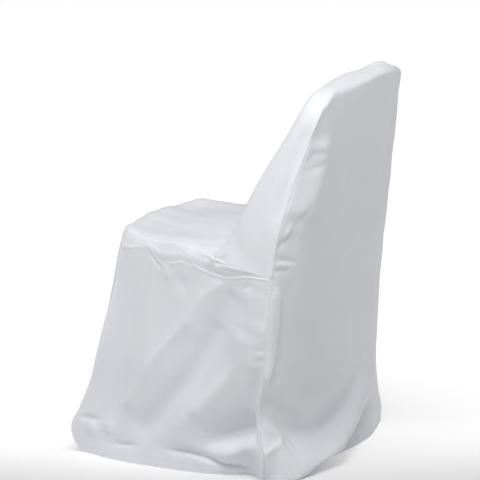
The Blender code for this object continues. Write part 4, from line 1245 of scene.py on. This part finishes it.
class COVER_OT_studio(bpy.types.Operator):
    """Set up the floor, the lights and the camera"""

    bl_idname = "chair_cover.studio"
    bl_label = "Studio"

    def execute(self, context):
        scene, studio = context.scene, context.scene.studio_sizes
        mesh = bpy.data.meshes.new("studio_floor")
        mesh.from_pydata([(x * FLOOR_REACH, y * FLOOR_REACH, 0)
                          for x, y in ((-1, -1), (1, -1), (1, 1), (-1, 1))], [], [(0, 1, 2, 3)])
        mesh.materials.append(painted_floor(scene.cloth_colours))
        floor = bpy.data.objects.new("studio_floor", mesh)
        scene.collection.objects.link(floor)

        world = bpy.data.worlds.new("studio_room")
        world.use_nodes = True
        room = world.node_tree.nodes["Background"]
        room.inputs["Color"].default_value = (1.0, 1.0, 1.0, 1.0)
        room.inputs["Strength"].default_value = studio.room_strength
        scene.world = world

        for name in ("key", "fill"):
            light = bpy.data.objects.new(name + "_light", bpy.data.lights.new(name + "_light", "AREA"))
            light.data.energy = getattr(studio, name + "_power")
            light.data.size = getattr(studio, name + "_width")
            light.location = getattr(studio, name + "_place")
            aim = light.location - Vector((0.0, 0.0, studio.target_height))
            light.rotation_euler = aim.to_track_quat("Z", "Y").to_euler()
            scene.collection.objects.link(light)

        turn, rise = studio.azimuth, studio.elevation
        back = Vector((math.sin(turn) * math.cos(rise), -math.cos(turn) * math.cos(rise),
                       math.sin(rise)))
        camera = bpy.data.objects.new("camera", bpy.data.cameras.new("camera"))
        camera.data.sensor_width = 36.0
        camera.data.lens = studio.distance / studio.view_width * camera.data.sensor_width
        camera.data.clip_end = 100.0
        target = Vector((0.0, studio.target_depth, studio.target_height))
        camera.location = target + back * studio.distance
        camera.rotation_euler = back.to_track_quat("Z", "Y").to_euler()
        scene.collection.objects.link(camera)
        scene.camera = camera
        scene.view_settings.view_transform = "Standard"
        return {"FINISHED"}


OPERATORS = (COVER_OT_studio, COVER_OT_front_panel, COVER_OT_rear_panel, COVER_OT_side_panels,
             COVER_OT_hem_stitches)


class COVER_PT_tools(bpy.types.Panel):
    """Lists the cover's pieces and their sizes"""

    bl_label = "Chair Cover"
    bl_idname = "COVER_PT_tools"
    bl_space_type = "VIEW_3D"
    bl_region_type = "UI"
    bl_category = "Chair Cover"

    def draw(self, context):
        for group in (context.scene.cloth_sizes, context.scene.cloth_colours,
                      context.scene.studio_sizes):
            box = self.layout.box()
            for name in group.__annotations__:
                box.prop(group, name)
        for operator in OPERATORS:
            self.layout.operator(operator.bl_idname)


CLASSES = (ClothSizes, ClothColours, StudioSizes, *OPERATORS, COVER_PT_tools)


def register():
    for each in CLASSES:
        bpy.utils.register_class(each)
    bpy.types.Scene.cloth_sizes = bpy.props.PointerProperty(type=ClothSizes)
    bpy.types.Scene.cloth_colours = bpy.props.PointerProperty(type=ClothColours)
    bpy.types.Scene.studio_sizes = bpy.props.PointerProperty(type=StudioSizes)


def unregister():
    del bpy.types.Scene.cloth_sizes
    del bpy.types.Scene.cloth_colours
    del bpy.types.Scene.studio_sizes
    for each in reversed(CLASSES):
        bpy.utils.unregister_class(each)


def main():
    register()
    bpy.ops.chair_cover.studio()
    bpy.ops.chair_cover.front_panel()
    bpy.ops.chair_cover.rear_panel()
    bpy.ops.chair_cover.side_panels()
    bpy.ops.chair_cover.hem_stitches()


if __name__ == "__main__":
    main()
